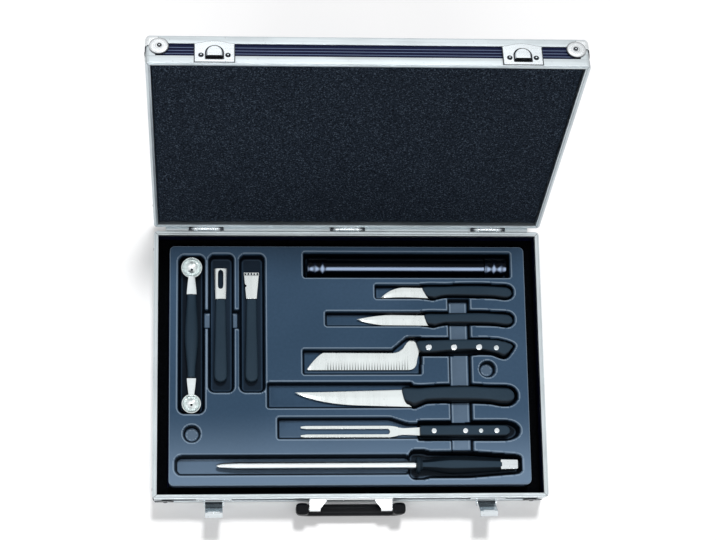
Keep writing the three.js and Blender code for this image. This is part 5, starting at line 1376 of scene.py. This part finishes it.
def box_depth(x, y, sides, radius):
    """How far inside a round-cornered box each place lies."""
    x0, x1, y0, y1 = sides
    across = np.abs(x - (x0 + x1) / 2) - (x1 - x0) / 2 + radius
    along = np.abs(y - (y0 + y1) / 2) - (y1 - y0) / 2 + radius
    outside = np.hypot(np.maximum(across, 0), np.maximum(along, 0))
    return radius - outside - np.minimum(np.maximum(across, along), 0)


def outline_depth(x, y, outline):
    """The least distance to the outline's sides, positive where a ray crosses them an odd number of times."""
    px, py = x.reshape(-1, 1), y.reshape(-1, 1)
    ax, ay = outline.T
    bx, by = np.roll(outline, -1, 0).T
    t = np.clip(((px - ax) * (bx - ax) + (py - ay) * (by - ay)) / ((bx - ax) ** 2 + (by - ay) ** 2), 0, 1)
    near = np.hypot(px - ax - t * (bx - ax), py - ay - t * (by - ay)).min(1)
    spans = (ay > py) != (by > py)
    crosses = px < ax + (py - ay) * (bx - ax) / np.where(by == ay, 1, by - ay)
    inside = (spans & crosses).sum(1) % 2 == 1
    return np.where(inside, near, -near).reshape(x.shape)


def windowed(x, y, outline, margin=8.0):
    """Works out the outline's depth only near it."""
    depth = np.full(x.shape, -margin)
    low, high = outline.min(0) - margin, outline.max(0) + margin
    near = (x > low[0]) & (x < high[0]) & (y > low[1]) & (y < high[1])
    depth[near] = outline_depth(x[near], y[near], outline)
    return depth


def boxes(*sides):
    """A test of depth for several round-cornered boxes: the deepest one counts."""
    return lambda x, y: np.max([box_depth(x, y, side[:4], side[4]) for side in sides], axis=0)


def outlines(*shapes):
    """The same for several closed outlines."""
    return lambda x, y: np.max([windowed(x, y, shape) for shape in shapes], axis=0)


def finger_holes(*discs):
    """The same for round holes, each given by its centre and radius."""
    return lambda x, y: np.max([radius - np.hypot(x - a, y - b) for a, b, radius in discs], axis=0)


def deepest(*tests):
    """Several tests as one."""
    return lambda x, y: np.max([test(x, y) for test in tests], axis=0)


print("middle of the tray", round(float(box_depth(0, 0, TRAY_SIDES, TRAY_CORNER)), 1), "mm inside it")

# %% Pocket outlines
STEEL = {"row": -130, "start": 83.6, "length": 129.4, "z": 40.43, "rod": 5.1, "rod_length": 253.6,
         "grip": 11.9}
steel_half = np.array([
    (-10.8, 13), (-5.4, 19.6), (10.8, 19.6), (16.2, 17.7), (66.4, 17.7), (129.4, 13), (135.1, 10.1),
])
steel_pocket = np.concatenate([steel_half, steel_half[::-1] * (1, -1)]) + (STEEL["start"], STEEL["row"])
step_pocket = np.array([(54.6, -2.3), (94.4, -2.3), (94.4, 34.9), (74.6, 34.9), (54.6, 18.1)])
fork_pocket = np.array([
    (-92.8, -97.2), (89.5, -97.2), (89.5, -76.4), (73, -76.4), (51, -69.2), (-92.8, -69.2),
])
# Each level is the height of its floor and its test of depth. The floor shade is how much painted shade that
# floor gets, as the floor of a deep pocket lies in shadow.
FLOOR_SHADE = np.array([0.9, 0.85, 0.9, 0.95, 0.0, 0.72, 0.05, 0.0])
LEVELS = [
    (28.7, boxes((-58, 212, 112.2, 145.8, 3))),
    (29.0, outlines(softened(steel_pocket, 5, 5))),
    (32.0, boxes((-219, -184.2, -64.8, 141.6, 8.7))),
    (32.5, outlines(
        softened(OFFSET_POCKET, 3, 5),
        followed(HANDLES["boning_knife"], side=2.9, end_room=5),
        followed(HANDLES["meat_fork"], side=5.8, end_room=13.2))),
    (33.2, boxes((-222.7, 78.2, -143, -117, 9.1))),
    (33.5, deepest(
        boxes((-180.4, -146.6, -37.6, 143, 8.4), (-140.7, -106.9, -37.6, 143, 8.4)),
        outlines(
            followed(HANDLES["turning_knife"], side=2.6, end_room=2.4),
            followed(HANDLES["paring_knife"], side=2.6, end_room=2.4)))),
    (37.0, deepest(
        boxes((34.2, 103.5, 84.35, 103.65, 3), (-30.4, 103.5, 48.35, 67.65, 3), (-59.9, 93.3, -14.5, 18.6, 3),
              (-105.6, 81.4, -57.8, -24.3, 3)),
        outlines(softened(step_pocket, 3, 4), softened(fork_pocket, 3, 4)))),
    (38.0, deepest(
        boxes((-188, -140, 45.1, 69.9, 0.4), (128.4, 157.4, -113.6, 84.4, 0.4)),
        finger_holes((-200.9, -90.1, 11.2), (178, -7.6, 10.8)))),
]
print(len(LEVELS), "depths of pocket")

# %% Height over the tray's grid


def pocket_profile(floor):
    """Pairs of depth and height: an arc over the lip, the leaning wall and an arc into the floor."""
    turn = np.linspace(0, np.pi / 2, 7)
    wall = (TRAY_TOP - floor) * LEAN
    lip = np.column_stack([LIP * (np.sin(turn) - 1), TRAY_TOP - LIP * (1 - np.cos(turn))])
    foot = np.column_stack([wall + FOOT * (1 - np.cos(turn)), floor + FOOT * (1 - np.sin(turn))])
    bends = np.array([-LIP, -0.3 * LIP, wall + 0.15 * FOOT, wall + FOOT])
    return np.concatenate([lip, foot]), bends


def tray_height(x, y):
    """The lowest of all the pockets' heights, the depth that made it and which pocket it was."""
    heights, depths = [], []
    for floor, inside in LEVELS:
        depth = inside(x, y)
        profile, _ = pocket_profile(floor)
        heights.append(np.interp(depth, profile[:, 0], profile[:, 1]))
        depths.append(depth)
    heights, depths = np.array(heights), np.array(depths)
    which = np.where(heights.min(0) < TRAY_TOP - 0.001, heights.argmin(0), depths.argmax(0))
    return heights.min(0), np.take_along_axis(depths, which[None], 0)[0], which


def tray_grid(step=1.25):
    """Grid lines with a few extra ones on the rolled outer edge, and its corners drawn in to their round."""
    border = np.array([0, 0.3, 0.9, OUTER_ROLL])

    def lines(low, high):
        inner = np.linspace(low + 2.8, high - 2.8, int(round((high - low) / step)))
        return np.concatenate([low + border, inner, (high - border)[::-1]])

    x, y = np.meshgrid(lines(-TRAY_X, TRAY_X), lines(TRAY_FRONT, TRAY_BACK), indexing="ij")
    radius = TRAY_CORNER
    middle_x = np.clip(x, -TRAY_X + radius, TRAY_X - radius)
    middle_y = np.clip(y, TRAY_FRONT + radius, TRAY_BACK - radius)
    off_x, off_y = x - middle_x, y - middle_y
    off = np.hypot(off_x, off_y)
    square = np.maximum(np.abs(off_x), np.abs(off_y))
    draw = np.where(off > 0, square / np.maximum(off, 1e-9), 1)
    return middle_x + off_x * draw, middle_y + off_y * draw


def slid_to_bends(x, y):
    """Moves places near a bend along the slope of the depth: shift * slope / |slope|^2."""
    _, depth, which = tray_height(x, y)
    bends = np.array([pocket_profile(floor)[1] for floor, _ in LEVELS])[which]
    gaps = bends - depth[..., None]
    shift = np.take_along_axis(gaps, np.abs(gaps).argmin(-1)[..., None], -1)[..., 0]
    across = np.array([inside(x + 0.2, y) - inside(x - 0.2, y) for _, inside in LEVELS])
    along = np.array([inside(x, y + 0.2) - inside(x, y - 0.2) for _, inside in LEVELS])
    slope_x, slope_y = (np.take_along_axis(step, which[None], 0)[0] / 0.4 for step in (across, along))
    size = np.maximum(slope_x**2 + slope_y**2, 0.25)
    edge = box_depth(x, y, TRAY_SIDES, TRAY_CORNER)
    move = np.where((np.abs(shift) < 0.62) & (edge > 3), shift, 0)
    return x + move * slope_x / size, y + move * slope_y / size


print("a grid of", tray_grid()[0].shape, "places")

# %% Tray surface


def tray_marks(depth, which, edge):
    """Marks for painted light: 1 for the lips' highlight, -1 for the walls' shade, some floor shade on deep
    floors, and painted highlights at the feet, on the finger channels' floors and round the tray's edge.
    """
    wall_end = (TRAY_TOP - np.array([floor for floor, _ in LEVELS])[which]) * LEAN
    lip = fading(np.abs(depth + 0.6 * LIP), LIP)
    wall = share_of(depth + 0.6, 0.5) * share_of(wall_end + 0.9 * FOOT - depth, 1.0)
    foot = fading(np.abs(depth - wall_end - 1.3 * FOOT), 0.4 * FOOT)
    floor = share_of(depth - wall_end - 0.5 * FOOT, 1.5)
    floor_shade = FLOOR_SHADE[which]
    # Painted light on the shallow floors of the finger channels and holes.
    pale = 0.34 * (which == len(LEVELS) - 1) * floor
    mark = lip - wall + 0.55 * foot * (1 - wall) * (1 - 0.8 * floor_shade) - 0.85 * floor * floor_shade * (1 - wall)
    return mark + 0.8 * fading(np.abs(edge - 0.5), 0.9) + pale * (1 - wall)


def tray_shape():
    """The height over the grid, its outer edge rolled over, a skirt down to the bottom, and its marks."""
    x, y = slid_to_bends(*tray_grid())
    z, depth, which = tray_height(x, y)
    edge = np.clip(box_depth(x, y, TRAY_SIDES, TRAY_CORNER), 0, OUTER_ROLL)
    z = z - OUTER_ROLL + np.sqrt(OUTER_ROLL**2 - (OUTER_ROLL - edge) ** 2)
    loop = border_loop(*x.shape)
    top, faces = woven(laid(x, y, z))
    skirt = top[loop] * (1, 1, 0) + (0, 0, TRAY_FOOT)
    low = len(top) + np.arange(len(loop))
    points = np.concatenate([top, skirt, [(0, 0, TRAY_FOOT)]])
    side = np.stack([loop, np.roll(loop, -1), np.roll(low, -1), low], -1)
    bottom = np.stack([low, np.roll(low, -1), np.full(len(low), len(points) - 1)], -1)
    marks = np.concatenate([tray_marks(depth, which, edge).ravel(), np.zeros(len(skirt) + 1)])
    return outwards((points, [faces[0], side[:, ::-1], bottom[:, ::-1]])), marks


shape, marks = tray_shape()
tray = piece("tool_tray", shape, "base", TRAY, "tray_plastic", ["tray"], crease=60, fold=marks)
print("tray with", len(tray.data.polygons), "faces")

# %% [markdown]
# ## Knives
#
# A blade is a ruled surface. At each place along it, one curve gives the height of the back and another the
# cutting edge, and the section between them is as thick as the sheet at the back and ground thin at the edge.
# A handle is a row of rounded sections between two smooth ends, its front leaning with the blade's heel.

# %% Blades


def bend_curve(a, corner, b, count=24):
    """(1-t)^2 a + 2t(1-t) corner + t^2 b."""
    t = np.linspace(0, 1, count)[:, None]
    return (1 - t) ** 2 * np.array(a) + 2 * t * (1 - t) * np.array(corner) + t**2 * np.array(b)


def traced(*parts):
    """Joins points and curves into one line and puts it in order along X."""
    line = np.concatenate([np.atleast_2d(part) for part in parts])
    return line[np.argsort(line[:, 0], kind="stable")]


def blade_shape(x, spine, edge, z, thick=1.8, ground=0.45, flute=None, columns=22):
    """Sections from back to edge. Thickness stays full for a share of the way, then falls to a fine edge."""
    high, low = np.interp(x, *spine.T), np.interp(x, *edge.T)
    u = np.linspace(0, 1, columns)
    half = thick / 2 * (1 - 0.84 * share_of(u - ground, 1 - ground))
    half[0] *= 0.55
    y = high[:, None] + (low - high)[:, None] * u
    top = z + half
    if flute is not None:
        top = top - flute(x[:, None], u)
    loop = np.concatenate([laid(x[:, None], y, top), laid(x[:, None], y, z - half)[:, ::-1]], 1)
    return outwards(woven(loop, round_columns=True, ends=True))


def spread(low, high, count, tight=1.6):
    """Places from low to high, closer together near the low end."""
    return low + (high - low) * np.linspace(0, 1, count) ** tight


print("a bend of", len(bend_curve((0, 0), (1, 1), (2, 0))), "points")

# %% Handles


def handle_shape(handle, slant=(0.0, 0.0), squareness=0.55, round_front=2.0, round_end=8.0, count=130,
                 sides=44):
    """Sections |y/a|^n + |z/b|^n = 1 down the handle. Near an end, a and b fall as a quarter circle does."""
    table, start, length = handle["table"], handle["start"], handle["length"]
    first = table[0, 0]
    share = np.linspace(0, 1, count)
    share = share - 0.12 * np.sin(2 * np.pi * share) / np.pi
    along = first + (1 - first) * share
    middle, wide, tall = (eased(along, table[:, 0], table[:, column]) for column in (1, 2, 3))
    walk = (along - first) * length
    left = length * (1 - first) - walk
    blunt = quarter_arc(walk, round_front) * 0.5 + 0.5
    narrow = blunt * np.maximum(quarter_arc(left, round_end), 0.05) * wide
    low = blunt * (quarter_arc(left, 2.5) * 0.4 + 0.6) * tall
    across, up = rounded_square(sides, squareness)
    y = handle["row"] + (middle * handle["width"])[:, None] + narrow[:, None] * handle["width"] / 2 * across
    z = handle["z"] + low[:, None] * handle["height"] / 2 * up
    level = np.clip((y - handle["row"]) / handle["width"] + 0.5, 0, 1)
    fade = fading(walk, 0.3 * length) ** 1.5
    lean = slant[1] - (slant[0] + slant[1]) * level - first * length
    x = start + (along * length)[:, None] + lean * fade[:, None]
    return outwards(woven(laid(x, y, z), round_columns=True, ends=True))


def flanks(shape, back=0.72, front=0.5, sides=44):
    """How much painted shade each point of a handle gets: black under it, and growing on its sides where
    |cos|^0.6 round it passes back or front, while its lit top keeps its colour.
    """
    cos, sin = np.cos(angles(sides)), np.sin(angles(sides))
    dark = share_of(np.abs(cos) ** 0.6 - np.where(cos > 0, back, front), 0.2)
    return np.tile(np.where(sin < -0.05, 1.0, dark), len(shape[0]) // sides)


print("a handle of", len(handle_shape(HANDLES["boning_knife"])[0]), "points")

# %% Three knives


def plain_blade(name, tip, end, count, spine, edge):
    """One knife's blade between its two lines, from near its tip to its end in the handle."""
    x = spread(tip + 0.02, end, count)
    blade = blade_shape(x, traced(*spine), traced(*edge), HANDLES[f"{name}_knife"]["z"])
    piece(f"{name}_blade", blade, f"{name}_knife", BLADE, "blade_steel", [f"{name}_knife_blade"])


tip, row, wide = 42.6, HANDLES["turning_knife"]["row"], 14.5
low, high, heel = row - wide / 2, row + wide / 2, (107.8, row - wide / 2)
plain_blade(
    "turning", tip, 117, 120,
    [bend_curve((tip, low), (tip + 12.5, row + 0.42 * wide), (tip + 28.5, high)), (120, row + 0.44 * wide)],
    [bend_curve((tip, low), (tip + 25.6, row - 0.3 * wide), heel), (120, row - 0.3 * wide)],
)
tip, row = 11, HANDLES["paring_knife"]["row"]
start, high, heel = (tip, row + 0.05 * wide), row + wide / 2, (107.8, row - wide / 2)
plain_blade(
    "paring", tip, 117, 140,
    [bend_curve(start, (tip + 22, row + 0.42 * wide), (tip + 44.5, high)), (120, row + 0.44 * wide)],
    [bend_curve(start, (tip + 16, row - 0.36 * wide), (tip + 34, row - 0.46 * wide)), heel,
     (120, row - 0.3 * wide)],
)
tip = HANDLES["boning_knife"]["start"] - 145.2
plain_blade(
    "boning", tip, 88, 160,
    [(tip, -36.6), (75, -33), (89, -36.4)],
    [bend_curve((tip, -36.6), (tip + 29, -50.9), (tip + 79.9, -53.2)), (83, -55.4), (89, -48.7)],
)

slants = {"turning_knife": (7.5, 2.5), "paring_knife": (5.1, 1.0), "boning_knife": (9.1, -3.1)}
for name, slant in slants.items():
    handle = HANDLES[name]
    end = 11 if name == "boning_knife" else 8
    grip = handle_shape(handle, slant, squareness=0.62, round_front=3, round_end=end)
    piece(f"{name}_grip", grip, name, HANDLE, "tool_handle_plastic", [f"{name}_handle"], crease=50,
          fold=flanks(grip))
print("three knives")

# %% Offset knife
knife = HANDLES["offset_knife"]
tip, edge_y, back_y = knife["start"] - 146, -7.3, 15.7
spine = traced(
    bend_curve((tip, edge_y), (tip + 14.4, back_y - 2.7), (tip + 22.5, back_y)), (55, back_y - 0.55),
    bend_curve((57, back_y - 0.55), (66, back_y), (71, 22), 16),
    bend_curve((71, 22), (76, 31), (80, 31.4), 16),
    (85, 31), (88, 27.5), (100, 26),
)
edge = traced(
    (tip, edge_y), (76, edge_y), bend_curve((76, edge_y), (87.2, edge_y), (88, 4.2), 24),
    (90.9, 16), (92, 18), (100, 22),
)


def scallops(x, u):
    """Hollows ground up from the edge: a squared cosine along the blade, fading towards the back."""
    wave = (0.5 + 0.5 * np.cos((x - 76) / 3.55 * 2 * np.pi)) ** 1.5
    reach = share_of(u - 0.38, 0.62) ** 0.8
    ends = share_of(x + 34, 6) * share_of(80 - x, 5)
    return 0.34 * wave * reach * ends


x = np.unique(np.concatenate([spread(tip + 0.02, -34, 50), np.arange(-34, 92, 0.36), np.linspace(92, 99, 8)]))
columns = 34
blade = blade_shape(x, spine, edge, knife["z"], thick=1.8, ground=0.3, flute=scallops, columns=columns)
# Painted shade: the fold mark darkens each scallop's hollow.
ground = scallops(x[:, None], np.linspace(0, 1, columns)) * 2.1
piece("offset_blade", blade, "offset_knife", BLADE, "blade_steel", ["offset_knife_blade"],
      fold=np.concatenate([ground, 0 * ground], 1))
grip = handle_shape(knife, (6, 2), squareness=0.5, round_front=6, round_end=0.5)
piece("offset_grip", grip, "offset_knife", HANDLE, "tool_handle_plastic", ["offset_knife_handle"], crease=50,
      fold=flanks(grip))


def stud(x, y, z, radius):
    """A rivet end ground flush, with an eased rim."""
    profile = [(-1, radius), (0.05, radius), (0.3, radius - 0.3), (0.34, radius * 0.5), (0.36, 0.02)]
    return spun(profile, (x, y, z), (0, 0, 1), sides=28)


def studded(name, body, places, radius, medallion, disc):
    """The rivets of a handle, and its plain medallion a hair deeper."""
    top = HANDLES[body]["z"] + HANDLES[body]["height"] / 2
    rivets = together(*(stud(x, y, top - 0.2, radius) for x, y in places))
    piece(f"{name}_rivets", rivets, body, PLATED, "blade_steel", crease=40)
    piece(f"{name}_medallion", stud(*medallion, top - 0.25, disc), body, EDGE_METAL, "blade_steel", crease=40)


studded("offset", "offset_knife", ((103, 21.3), (135.6, 21.3), (168.1, 21.5)), 3.9, (190.5, 20.4), 3.4)
print("offset knife")

# %% [markdown]
# ## Fork, sharpening steel and needle tube
#
# The fork is one outline with two tines, its edges rolled. The steel and the tube are turned shapes: a
# profile of distances along a line and radii about it.

# %% Carving fork
TINES = {"apart": 10.9, "wide": 2.5, "sheet": 2.8, "tip": 151.5, "root": 41.5, "shank": 19.5}
fork = HANDLES["meat_fork"]
start, row = fork["start"], fork["row"]
tip, root, shank = start - TINES["tip"], start - TINES["root"], start - TINES["shank"]
outer, inner = (TINES["apart"] + TINES["wide"]) / 2, (TINES["apart"] - TINES["wide"]) / 2
half = np.concatenate([
    [(tip, 6.0), (tip + 5, outer)],
    bend_curve((root, outer), (root + outer, outer), (62.7, 4.6), 10),
    bend_curve((62.7, 4.6), (66, 3.6), (shank, 3.6), 8),
    [(start, 4.5), (104, 4.5)],
])
inside = np.concatenate([
    [(tip, 5.0), (tip + 7, inner)],
    bend_curve((root, inner), (root + 3.6, inner), (root + 4.1, 0), 10),
])
outline = np.concatenate([half, half[::-1] * (1, -1), inside * (1, -1), inside[-2::-1]]) + (0, row)
tines = prism(outline, fork["z"] - TINES["sheet"] / 2, fork["z"] + TINES["sheet"] / 2)
piece("fork_tines", tines, "meat_fork", BLADE, "blade_steel", ["meat_fork_tines"], bevel=1.0)
grip = handle_shape(fork, squareness=0.5, round_front=1.0, round_end=7)
piece("fork_grip", grip, "meat_fork", HANDLE, "tool_handle_plastic", ["meat_fork_handle"], crease=50,
      fold=flanks(grip))
studded("fork", "meat_fork", ((107.3, row), (147.6, row), (187.8, row)), 3.3, (167.5, row), 2.9)
print("fork")

# %% Sharpening steel
z, row, start, end = STEEL["z"], STEEL["row"], STEEL["start"], STEEL["start"] + STEEL["length"]
walk = np.array([0, 0.6, 2, 5, 10, 18, 26, 60, STEEL["rod_length"] - GAP])
radii = STEEL["rod"] * np.array([0.1, 0.3, 0.45, 0.62, 0.76, 0.9, 1, 1, 1])
rod = spun(np.column_stack([walk, radii]), (start - STEEL["rod_length"], row, z), ALONG_X, sides=48)
piece("steel_rod", rod, "sharpening_steel", ROD, "blade_steel", ["sharpening_steel_rod"], crease=50)
walk = np.linspace(0.06, 1, 60)
radii = STEEL["grip"] * eased(walk, [0.06, 0.1, 0.37, 0.6, 0.97, 1], [0.54, 0.58, 1, 0.88, 0.6, 0.5])
angle = angles(48) + np.pi / 8
facet = np.abs((angle + np.pi / 8) % (np.pi / 4) - np.pi / 8)
flat = np.minimum(np.cos(np.pi / 8) / np.cos(facet), 0.985) / 0.985
ring = radii[:, None] * flat
points = laid((start + walk * STEEL["length"])[:, None], row + ring * np.cos(angle), z + ring * np.sin(angle))
body = outwards(woven(points, round_columns=True, ends=True))
profile = [(0, 3), (0, 8.6), (0.7, 10.2), (1.8, 10.9), (3.6, 10.9), (4.8, 10.2), (5.5, 8.6), (6.6, 6.6),
           (8.5, 6.2), (9, 3)]
guard = spun(profile, (start, row, z), ALONG_X, sides=48)
turn, wire, thick = angles(36)[:, None], angles(12), 1.1
arm = 2 * thick + thick * np.cos(wire)
loop = laid(end + 1.2 * thick + arm * np.cos(turn), row + arm * np.sin(turn), z + thick * np.sin(wire))
loop = outwards(woven(loop, round_rows=True, round_columns=True))
corners = [(191.6, row - 5.6), (212.6, row - 5.2), (212.6, row + 5.2), (191.6, row + 5.6)]
plate = prism(softened(corners, 0.8), z + 6.0, z + 8.1)
piece("steel_plate", plate, "sharpening_steel", PLATED, "blade_steel", bevel=0.3)
# Painted shade: the handle's sides and underside, its guard and its loop are darkened, its lit top facet is
# not.
side = np.where(np.sin(angle) < 0, 1.0, share_of(np.abs(np.cos(angle)) - 0.36, 0.1))
black = np.concatenate([np.tile(side, 60), np.full(len(guard[0]), 0.6), np.ones(len(loop[0]))])
piece("steel_grip", together(body, guard, loop), "sharpening_steel", HANDLE, "tool_handle_plastic",
      ["sharpening_steel_handle"], crease=28, fold=black)
print("sharpening steel")

# %% Needle tube
TUBE_START, TUBE_END, TUBE_ROW, TUBE_Z = -52, 206, 129, 41.3
BARREL, BARREL_START, BARREL_LENGTH = 11.2, TUBE_START + 23, 206
SHEEN = {"tilt": 31, "spread": 15}


def sheen_of(points):
    """How much painted highlight each point gets: a bell curve of the angle between its direction from the
    axis and the line of light.
    """
    angle = np.degrees(np.arctan2(TUBE_ROW - points[:, 1], points[:, 2] - TUBE_Z))
    return np.exp(-(((angle - SHEEN["tilt"]) / SHEEN["spread"]) ** 2))


profile = [(0, 9), (0, BARREL), (BARREL_LENGTH, BARREL), (BARREL_LENGTH, 9)]
barrel = spun(profile, (BARREL_START, TUBE_ROW, TUBE_Z), ALONG_X, sides=96)
# The barrel's painted highlight: a line of light painted along it through the fold mark.
piece("tube_barrel", barrel, "needle_tube", TUBE, "gloss_tube", ["needle_tube_barrel"],
      fold=sheen_of(barrel[0]))


def cap(start, length, way):
    """A cap with a lip, and shallow dents that ripple round it and along it."""
    body, end = np.linspace(6, length - 1.5, 40), [length - 0.6, length, length]
    walk = np.concatenate([[0, 0, 0.5], np.linspace(1, 4.5, 8), [5, 5.6], body, end])[:, None]
    radius = np.where(walk < 5.2, 12.3, 12.0)
    radius[[0, 2, -2, -1], 0] = 11.3, 12.2, 11.2, 0.1
    angle = angles(72)
    dent = 0.4 * np.sin(angle * 9 + 3 * np.sin(walk * 0.7)) * np.sin(walk * 0.9 + 2 * np.sin(angle * 4))
    ring = radius - np.maximum(dent, 0) * (share_of(walk - 5.6, 2) * share_of(length - walk, 2))
    points = laid(start + way * walk, TUBE_ROW + ring * np.cos(angle), TUBE_Z + ring * np.sin(angle))
    return outwards(woven(points, round_columns=True, ends=True))


for name, start, length, way in (("left", TUBE_START + 24, 24, -1), ("right", TUBE_END - 28, 28, 1)):
    shape = cap(start, length, way)
    along = shape[0][:, 0]
    # Painted glints: the caps' painted highlight, stronger and weaker along them.
    glint = sheen_of(shape[0]) ** (0.55 + 0.35 * np.sin(along * 0.62)) * (0.8 + 0.2 * np.sin(along * 0.9))
    piece(f"tube_cap_{name}", shape, "needle_tube", TUBE, "gloss_tube", [f"needle_tube_cap_{name}"],
          fold=glint)
print("needle tube")

# %% [markdown]
# ## Small tools
#
# The melon baller, the peeler and the zester stand along Y. Their handles are made along X and turned. A
# scoop is half a ball as rings about its drain hole, given a wall. The peeler's blade is two strips whose
# inner edges part along its slot, and the zester's end is a row of square cells, each drawn round its hole.

# %% Melon baller
BALLER_X, SCOOP_Z = -201.6, 44.7


def standing(points):
    """Turns a shape made along X to run down along -Y."""
    return np.column_stack([points[:, 1], -points[:, 0], points[:, 2]])


def scoop(y, radius):
    """A bowl of rings from the drain hole to the rim: radius * sin and radius * cos of each ring's tilt."""
    tilt = np.linspace(np.arcsin(1.5 / radius), np.pi / 2, 26)[:, None]
    angle, ring = angles(64), radius * np.sin(tilt)
    bowl = laid(BALLER_X + ring * np.cos(angle), y + ring * np.sin(angle), SCOOP_Z - radius * np.cos(tilt))
    return woven(bowl, round_columns=True)


def neck(y0, y1, wide0, wide1, z):
    """A strip from one width to another, arched across: its edges lie 1.1 lower than its middle."""
    t = np.linspace(0, 1, 14)[:, None]
    across = np.linspace(-1, 1, 17)
    half = (wide0 + (wide1 - wide0) * t**1.3) / 2
    return woven(laid(BALLER_X + half * across, y0 + (y1 - y0) * t, z - 0.5 - 1.1 * across**2))


handle = handle_of(BALLER_TABLE, -90.6, 108.4, BALLER_X, 17.3, 17.3, 43.5)
grip = handle_shape(handle, squareness=0.95, round_front=1.2, round_end=1.2)
piece("baller_grip", grip, "melon_baller", HANDLE, "tool_handle_plastic", ["melon_baller_handle"], standing,
      crease=50)
for name, y, radius, foot, way in (("large", 126, 12.4, 90.9, -1), ("small", -51, 11.2, -18.1, 1)):
    piece(f"{name}_bowl", scoop(y, radius), "melon_baller", BLADE, "blade_steel",
          [f"melon_baller_{name}_scoop"], sheet=1.0, bevel=0.2)
    rim = y + way * (radius - 1.2)
    bridge = neck(foot, rim, wide0=12, wide1=7, z=SCOOP_Z)
    piece(f"{name}_neck", bridge, "melon_baller", ROD, "blade_steel", sheet=1.4, bevel=0.3)
print("melon baller")

# %% Peeler
FOOT_Y, SMALL_Z, PEELER_X, ZESTER_X = 85.7, 39.8, -164.3, -124.6
ZESTER_Z = SMALL_Z + 0.6
for name, x in (("peeler", PEELER_X), ("zester", ZESTER_X)):
    handle = handle_of(SMALL_TOOL_TABLE, -85.4, 108.2, x, 17, 12, SMALL_Z)
    grip = handle_shape(handle, squareness=0.6, round_front=1.5, round_end=7)
    piece(f"{name}_grip", grip, name, HANDLE, "tool_handle_plastic", [f"{name}_handle"], standing, crease=50)

rows = np.linspace(0, 1, 90)
blade = 40.2
y = FOOT_Y + blade * rows
half = 12.6 / 2 + (16 - 12.6) / 2 * rows
middle, reach = FOOT_Y + 0.64 * blade, 0.31 * blade
slot = 3.3 * np.sqrt(np.clip(1 - np.abs((y - middle) / reach) ** 6, 0, 1))
t = np.linspace(0, 1, 12)
strips = []
for side in (-1, 1):
    across = slot[:, None] + (half - slot)[:, None] * t
    bow = 3 * (1 - (across / 9) ** 2) - 1.2
    points, faces = woven(laid(PEELER_X + side * across, y[:, None], SMALL_Z - 1.2 + bow))
    strips.append((points, faces if side > 0 else flipped(faces)))
piece("peeler_sheet", together(*strips), "peeler", BLADE, "blade_steel", ["peeler_blade"], sheet=1.2,
      bevel=0.25, merge=0.01)
print("peeler")

# %% Zester


def square_ring(x0, x1, y0, y1, centre, radius, rings=6, spokes=48):
    """Rings from a hole out to the sides of a box round it."""
    corners = [np.arctan2(b - centre[1], a - centre[0]) for a in (x0, x1) for b in (y0, y1)]
    angle = np.unique(np.concatenate([np.linspace(-np.pi, np.pi, spokes, endpoint=False), corners]))
    cos, sin = np.cos(angle), np.sin(angle)

    def reach(way, low, high, middle):
        return np.where(way > 0, (high - middle) / way, np.where(way < 0, (low - middle) / way, np.inf))

    with np.errstate(divide="ignore", invalid="ignore"):
        far = np.minimum(reach(cos, x0, x1, centre[0]), reach(sin, y0, y1, centre[1]))
    distance = radius + (far - radius) * np.linspace(0, 1, rings)[:, None]
    return laid(centre[0] + distance * cos, centre[1] + distance * sin, ZESTER_Z)


TEETH, TIP_WIDTH = 5, 19.4
blade, tip_y = 34.8, FOOT_Y + 34.8
cell = TIP_WIDTH / TEETH
cells = []
for tooth in range(TEETH):
    x0 = ZESTER_X - TIP_WIDTH / 2 + tooth * cell
    grid = square_ring(x0, x0 + cell, tip_y - cell, tip_y, (x0 + cell / 2, tip_y - 1.8), 1.3)
    cells.append(woven(grid, round_columns=True))
rows = np.linspace(0, 1, 80)
y = FOOT_Y + (blade - cell) * rows
half = 6.7 + 3.0 * rows
notch = 1.9 * np.sqrt(np.clip(1 - ((y - (tip_y - 0.5 * blade)) / 1.9) ** 2, 0, 1))
left, right = ZESTER_X - half + notch, ZESTER_X + half
plate = woven(laid(left[:, None] + (right - left)[:, None] * np.linspace(0, 1, 31), y[:, None], ZESTER_Z))
zester = piece("zester_sheet", together(*cells, plate), "zester", BLADE, "blade_steel", ["zester_blade"],
               sheet=1.2, merge=0.02)
zester.modifiers["wall"].use_even_offset = False
print("zester with", TEETH, "teeth")
